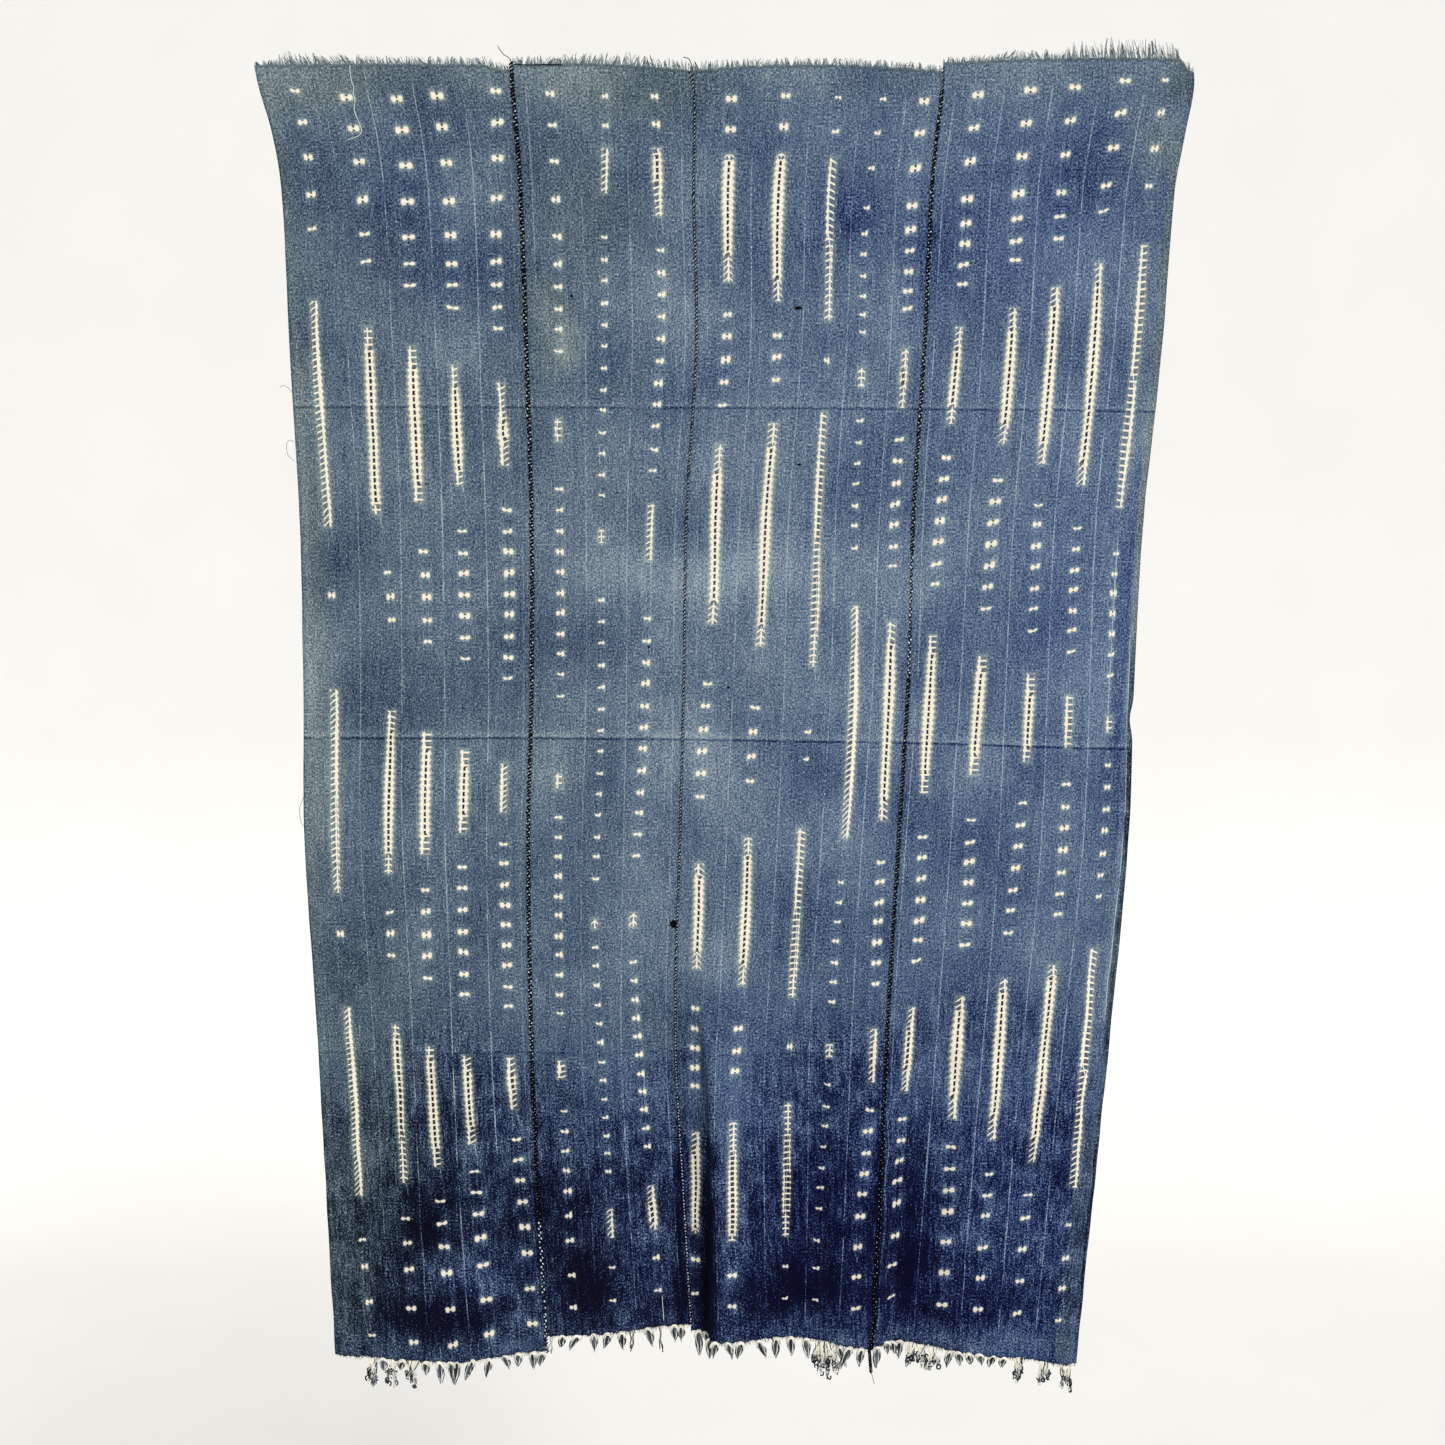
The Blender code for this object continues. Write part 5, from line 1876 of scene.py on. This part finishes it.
@dataclass
class HemTassels:
    """The strip's own warp, knotted in small tassels under its hem, with fuzz between them."""

    hang: Hang
    strip: Strip
    rings: int = 8
    skein: Skein = field(init=False)
    chance: Chance = field(init=False)
    run: Array = field(init=False)

    def __post_init__(self) -> None:
        """Starts the yarns and the random draws."""
        self.skein = Skein(rings=self.rings, sides=5)
        self.chance = np.random.default_rng(TASSEL_SEED + self.strip.number)
        self.run = np.linspace(0.0, 1.0, self.rings)

    def hem_point(self, across: float) -> Array:
        """The middle of the hem below a place across.

        Args:
            across: x on the front view.

        Returns:
            The point.
        """
        drop = self.strip.hem_middle
        for _ in range(3):
            left = self.hang.across(self.strip, 0.0, drop)
            right = self.hang.across(self.strip, 1.0, drop)
            share = float(np.clip((across - left) / (right - left), 0.0, 1.0))
            drop = float(self.hang.hem(self.strip, share))
        return self.hang.point(np.float64(across), np.float64(drop))

    @staticmethod
    def strand(foot: Array, right: Array, forward: Array, down: Array) -> Array:
        """A path from millimetres right, forward and down of a foot."""
        return foot + np.stack(np.broadcast_arrays(right, -forward, -down), axis=-1) * MM

    def lay_knot(self, foot: Array, tassel: Tassel) -> None:
        """A cream arch of twisted warp hugging a dark pointed tail.

        Args:
            foot: the hem's middle above it.
            tassel: its sizes.
        """
        skein, chance, run = self.skein, self.chance, self.run
        half = chance.uniform(4.4, 5.8)
        tilt = chance.normal(0.0, 0.16)
        fall = chance.uniform(0.36, 0.52) * min(tassel.length, 22.0)
        for layer in range(3):
            turn = math.pi * (0.02 + 0.94 * run)
            right = (0.9 * layer - half) * np.cos(turn) + chance.normal(0.0, 0.5)
            down = fall - (fall + 1.6 - 0.8 * layer) * np.sin(turn) ** 0.7
            right = right + tilt * down
            path = self.strand(foot, right, 1.2 + 0.6 * layer * np.sin(turn), down)
            twist = 0.10 * np.sin(9.0 * run + tilt * 20.0) ** 2
            skein.lay(path, 0.00095, chance.choice((0.0, 0.04, 0.20)) + twist)
        for index in range(11):
            spread = (index - 5.0) / 5.0
            tip = tassel.length * chance.uniform(0.82, 1.20)
            belly = np.sin(math.pi * np.minimum(run * 1.1, 1.0)) ** 0.8
            turn = 2.0 * run + spread * 2.6
            down = 1.6 + (tip - 1.6) * run
            right = spread * (0.8 + 3.5 * belly) + 0.5 * np.sin(turn * 2.0)
            right = right + tassel.sway * run**1.4 + tilt * down
            forward = 0.8 + 1.4 * belly * np.cos(2.4 * spread) + 0.5 * np.cos(turn * 2.0) + 0.2 * spread
            tone = 0.15 if index in (2, 8) else chance.uniform(0.62, 1.0)
            skein.lay(self.strand(foot, right, forward, down), 0.00090 * (1.0 - 0.55 * run), tone)

    def lay_loose(self, foot: Array, tassel: Tassel) -> None:
        """A few thin strands that hang and curl at their tips.

        Args:
            foot: the hem's middle above it.
            tassel: its sizes.
        """
        skein, chance, run = self.skein, self.chance, self.run
        for _ in range(4):
            start = chance.uniform(-3.0, 3.0)
            tip = tassel.length * chance.uniform(0.75, 1.0)
            curl = chance.uniform(-3.0, 3.0)
            right = start * (1.0 - 0.5 * run) + tassel.sway * run
            right = right + curl * run**4 + 0.9 * np.sin(9.0 * run + start)
            forward = 0.8 + chance.uniform(0.0, 1.0) * np.sin(math.pi * run)
            path = self.strand(foot, right, forward, -0.5 + (tip + 0.5) * run)
            skein.lay(path, 0.00070, np.clip(chance.choice((0.15, 0.8)) + 0.3 * run, 0.0, 1.0))

    def lay_mop(self, foot: Array, tassel: Tassel) -> None:
        """Pale strands that start wide, hang together, and end in dark curls.

        Args:
            foot: the hem's middle above it.
            tassel: its sizes.
        """
        skein, chance, run = self.skein, self.chance, self.run
        tails = np.array((-4.6, 0.4, 4.8)) + chance.uniform(-1.0, 1.0, 3)
        falls = tassel.length * chance.permutation((0.72, 0.88, 1.0))
        for index in range(21):
            tail, start = index % 3, chance.uniform(-7.0, 7.0)
            tip = falls[tail] * chance.uniform(0.70, 1.0)
            gathered = eased(run * chance.uniform(0.9, 1.7))
            right = start + (tails[tail] - start) * gathered + tassel.sway * run
            right = right + 1.7 * np.sin(7.5 * run + chance.uniform(0.0, 6.28)) * run**0.6
            forward = 0.8 + 1.6 * np.sin(math.pi * run) * chance.uniform(0.3, 1.0)
            tone = chance.choice((0.02, 0.10, 0.10, 0.80)) + 0.55 * run**2.5
            path = self.strand(foot, right, forward, -0.8 + (tip + 0.8) * run)
            skein.lay(path, 0.00075, np.clip(tone, 0.0, 1.0))
        for index in range(12):
            tail = index % 3
            size = chance.uniform(1.2, 2.6)
            low = falls[tail] * chance.uniform(0.45, 1.0) - size
            turn = chance.uniform(0.0, 6.28) + np.linspace(0.0, 4.2, self.rings)
            right = tails[tail] + tassel.sway * 0.8 + chance.normal(0.0, 1.0) + size * np.cos(turn)
            forward = 1.6 + chance.uniform(-0.4, 1.0) + 0.3 * np.sin(turn * 2.0)
            path = self.strand(foot, right, forward, low + 1.3 * size * np.sin(turn))
            skein.lay(path, 0.00095, chance.choice((0.10, 0.80, 0.90, 1.0)))

    def lay_cord(self, foot: Array, tassel: Tassel) -> None:
        """Three black strands twisted round each other, with pale flecks and one long thin end.

        Args:
            foot: the hem's middle above it.
            tassel: its sizes.
        """
        skein, chance, run = self.skein, self.chance, self.run
        pieces = 5
        for strand in range(3):
            for part in range(pieces):
                along = (part + run) / pieces
                turn = 2.0 * math.pi * (strand / 3.0 + 3.0 * along)
                right = 1.2 * np.cos(turn) + tassel.sway * along
                down = -2.0 + (tassel.length - 4.0) * along
                path = self.strand(foot, right, 1.4 + 1.2 * np.sin(turn), down)
                skein.lay(path, 0.0012, 1.0)
        for _ in range(14):
            along = chance.uniform(0.05, 0.95)
            right = tassel.sway * along + chance.uniform(-1.6, 1.6) + 0.5 * run
            path = self.strand(foot, right, 2.7, (tassel.length - 6.0) * along + 0.9 * run)
            skein.lay(path, 0.0004 * np.sqrt(np.maximum(1.0 - (2.0 * run - 1.0) ** 2, 0.1)), 0.05)
        tail = self.strand(foot, tassel.sway + 4.5 * run, 1.4, tassel.length - 7.0 + 17.0 * run)
        skein.lay(tail, 0.00035, 0.9)

    def lay_fuzz(self) -> None:
        """Short pale fibres along the hem's edge."""
        skein, chance, run = self.skein, self.chance, self.run
        left = float(self.hang.across(self.strip, 0.0, self.strip.hem_left))
        right = float(self.hang.across(self.strip, 1.0, self.strip.hem_right))
        for start in np.arange(left + 0.001, right - 0.001, 0.0009):
            foot = self.hem_point(start + chance.uniform(-0.0008, 0.0008))
            fall = chance.uniform(1.2, 4.2)
            right = chance.normal(0.0, 1.6) * run + chance.normal(0.0, 0.5) * np.sin(math.pi * run)
            path = self.strand(foot, right, 0.3 + chance.uniform(-0.5, 0.9) * run, -1.2 + (fall + 1.2) * run)
            skein.lay(path, 0.00040 * (1.0 - 0.5 * run), chance.choice((0.0, 0.2, 0.5, 0.9)))

    def build(self, material: Finish) -> Piece:
        """Makes the row of tassels under the strip.

        Args:
            material: the yarn's finish.

        Returns:
            The new object.
        """
        makers = {KNOT: self.lay_knot, LOOSE: self.lay_loose, MOP: self.lay_mop, CORD: self.lay_cord}
        for tassel in TASSELS:
            if tassel.strip == self.strip.number:
                makers[tassel.kind](self.hem_point(tassel.across * MM), tassel)
        self.lay_fuzz()
        return self.skein.build(f"hem_tassels_{self.strip.number}", material)


class LooseEnd(NamedTuple):
    """A loose thread on the cloth: its tone, and in millimetres the places that it passes."""

    tone: float
    radius: float
    places: tuple[tuple[float, float], ...]


LOOSE_ENDS = tuple(
    LooseEnd(*row)
    for row in (
        (
            -0.1, 0.38,
            (
                (-421, 1), (-421.5, 6), (-420, 18), (-417.5, 24.5), (-418.5, 31.5), (-416.5, 39),
                (-418, 46), (-417, 53), (-414, 60), (-410.5, 68.5), (-410.5, 73.5), (-415, 77.5),
                (-422, 80), (-427, 81.5),
            ),
        ),
        (
            0.95, 0.45,
            (
                (-239, 2), (-240, -4), (-243, -8), (-247, -10), (-250, -13), (-253, -17), (-254.5, -20),
            ),
        ),
        (0.95, 0.6, ((-237, -0.5), (-220, 0.5), (-200, 0.2), (-183, 0.4))),
        (0.8, 0.35, ((-198, 1), (-193, -4), (-188, -6), (-184, -3), (-186, 1))),
        (0.95, 0.5, ((-46, -8), (-40, -6), (-37, 0), (-35.5, 7))),
        (-0.1, 0.32, ((-78, 1472), (-77.5, 1482), (-76.8, 1493), (-76, 1507))),
        (0.6, 0.3, ((-500, 830), (-504, 838), (-508.5, 852), (-506, 868), (-501, 873))),
        (0.7, 0.25, ((-498.5, 418), (-504, 416), (-507.5, 422), (-506, 433), (-499, 440))),
        (0.6, 0.25, ((-499, 362), (-504, 356), (-509, 354), (-513, 356))),
    )
)


@dataclass
class LooseThreads:
    """Thread ends that lie loose on the cloth."""

    hang: Hang

    def build(self, material: Finish) -> Piece:
        """Lays the loose ends a little over the cloth.

        Args:
            material: the thread's finish.

        Returns:
            The new object.
        """
        rings = 24
        skein = Skein(rings=rings, sides=5)
        for end in LOOSE_ENDS:
            places = np.array(end.places) * MM
            at = np.linspace(0.0, len(places) - 1.0, rings)
            steps = np.arange(len(places), dtype=float)
            across, drop = (curve_through(steps, places[:, axis], at) for axis in (0, 1))
            skein.lay(self.hang.on_cloth(across, drop, 0.6 * MM), end.radius * MM, end.tone)
        return skein.build("loose_threads", material)


@dataclass
class Studio:
    """Camera, soft light, pale floor and backdrop."""

    camera_at: tuple[float, float, float] = (-0.002, -1.715, -0.5215)
    camera_down_deg: float = 7.5
    lens_mm: float = 36.05
    floor_height: float = -4.2
    floor_size: tuple[float, float] = (60.0, 15.0)
    backdrop_height: float = 12.0
    sweep_radius: float = 2.4
    sun_energy: float = 3.0
    sun_spread_deg: float = 24.0
    sun_turn_deg: tuple[float, float, float] = (50.0, 0.0, 28.0)
    surround_strength: float = 0.62

    def place_camera(self) -> None:
        """Puts the camera at the photograph's viewing angle."""
        data = bpy.data.cameras.new("camera")
        data.lens = self.lens_mm
        data.sensor_width = 36.0
        data.clip_end = 60.0
        camera = placed("camera", data)
        camera.location = self.camera_at
        camera.rotation_euler = (math.radians(90.0 - self.camera_down_deg), 0.0, 0.0)
        bpy.context.scene.camera = camera

    def place_lights(self) -> None:
        """One broad soft light from the upper right front and an even pale surround."""
        data = bpy.data.lights.new("key", "SUN")
        data.energy = self.sun_energy
        data.angle = math.radians(self.sun_spread_deg)
        data.color = (1.0, 0.985, 0.96)
        key = placed("key", data)
        key.rotation_euler = tuple(math.radians(turn) for turn in self.sun_turn_deg)
        world = bpy.data.worlds.new("surround")
        world.use_nodes = True
        surround = world.node_tree.nodes["Background"]
        surround.inputs["Color"].default_value = (0.97, 0.985, 1.0, 1.0)
        surround.inputs["Strength"].default_value = self.surround_strength
        bpy.context.scene.world = world

    def place_stage(self) -> None:
        """A pale floor that sweeps up into a backdrop far behind the cloth."""
        bpy.ops.object.select_all(action="DESELECT")
        bpy.ops.mesh.primitive_plane_add(size=1.0, location=(0.0, 0.0, self.floor_height))
        floor = bpy.context.view_layer.objects.active
        floor.name = "floor_and_backdrop"
        bpy.ops.transform.resize(value=(*self.floor_size, 1.0))
        bpy.ops.object.transform_apply(location=True, rotation=True, scale=True)
        bpy.ops.object.mode_set(mode="EDIT")
        bpy.ops.mesh.select_all(action="DESELECT")
        bpy.ops.object.mode_set(mode="OBJECT")
        for edge in floor.data.edges:
            edge.select = all(floor.data.vertices[index].co.y > 1.0 for index in edge.vertices)
        bpy.ops.object.mode_set(mode="EDIT")
        bpy.ops.mesh.select_mode(type="EDGE")
        bpy.ops.mesh.extrude_region_move(TRANSFORM_OT_translate={"value": (0.0, 0.0, self.backdrop_height)})
        bpy.ops.object.mode_set(mode="OBJECT")
        bend = floor.modifiers.new("sweep", "BEVEL")
        bend.width = self.sweep_radius
        bend.segments = 14
        bpy.ops.object.modifier_apply(modifier=bend.name)
        floor.data.shade_smooth()
        paint = Painter("pale matt paint")
        tone = paint.noise((900.0, 900.0, 900.0), 2.0, source="")
        colour = paint.ramp(tone, ((0.2, linear_colour(214, 213, 210)), (0.8, linear_colour(218, 217, 214))))
        floor.data.materials.append(paint.finish(colour, roughness=0.9, sheen=0.0))

    def build(self) -> None:
        """Sets up everything that isn't the cloth."""
        bpy.context.scene.view_settings.view_transform = "Standard"
        self.place_camera()
        self.place_lights()
        self.place_stage()


def dress(piece: Piece, node: str = "") -> Piece:
    """Attaches a finished piece to the root body, and hides the solid node that it stands in for.

    Args:
        piece: the finished piece.
        node: the solid that it stands in for, if there is one.

    Returns:
        The same piece.
    """
    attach(piece, "root")
    if node:
        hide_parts(node)
    LOG.info("%s: %d faces", piece.name, len(piece.data.polygons))
    return piece


def main() -> None:
    """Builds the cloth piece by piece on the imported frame."""
    logging.basicConfig(level=logging.INFO, format="%(message)s")
    Studio().build()
    hang = Hang()
    cloth = IndigoCloth().material()
    frayed = YarnFinish("frayed warp", (208, 216, 208), (116, 136, 146), (30, 40, 48), uneven=0.3)
    frayed_yarn = frayed.material()
    tassel_yarn = YarnFinish("knotted warp", (246, 241, 226), (112, 126, 134), (8, 14, 28)).material()
    thread = YarnFinish("sewing thread", (236, 246, 244), (52, 74, 110), (2, 2, 5), uneven=0.12).material()
    dyed = YarnFinish("dyed sewing thread", (214, 228, 238), (52, 70, 118), (3, 5, 28), uneven=0.12)
    threads = {1: thread, PALE_RIGHT_SEAM: dyed.material(), 3: thread}
    lacings = {number: SeamLacing(hang, number).build(threads[number]) for number in LACINGS}
    for lacing in lacings.values():
        dress(lacing)
    for strip in STRIPS:
        number = strip.number
        sheet = dress(ClothSheet(hang, strip).build(cloth), f"strip_{number}")
        fray = dress(TopFray(hang, strip).build(frayed_yarn), f"fray_{number}")
        tassels = dress(HemTassels(hang, strip).build(tassel_yarn), f"tassels_{number}")
        with_pieces = [fray, tassels] + [lacing for key, lacing in lacings.items() if key == number]
    dress(LooseThreads(hang).build(thread))


if __name__ == "__main__":
    main()
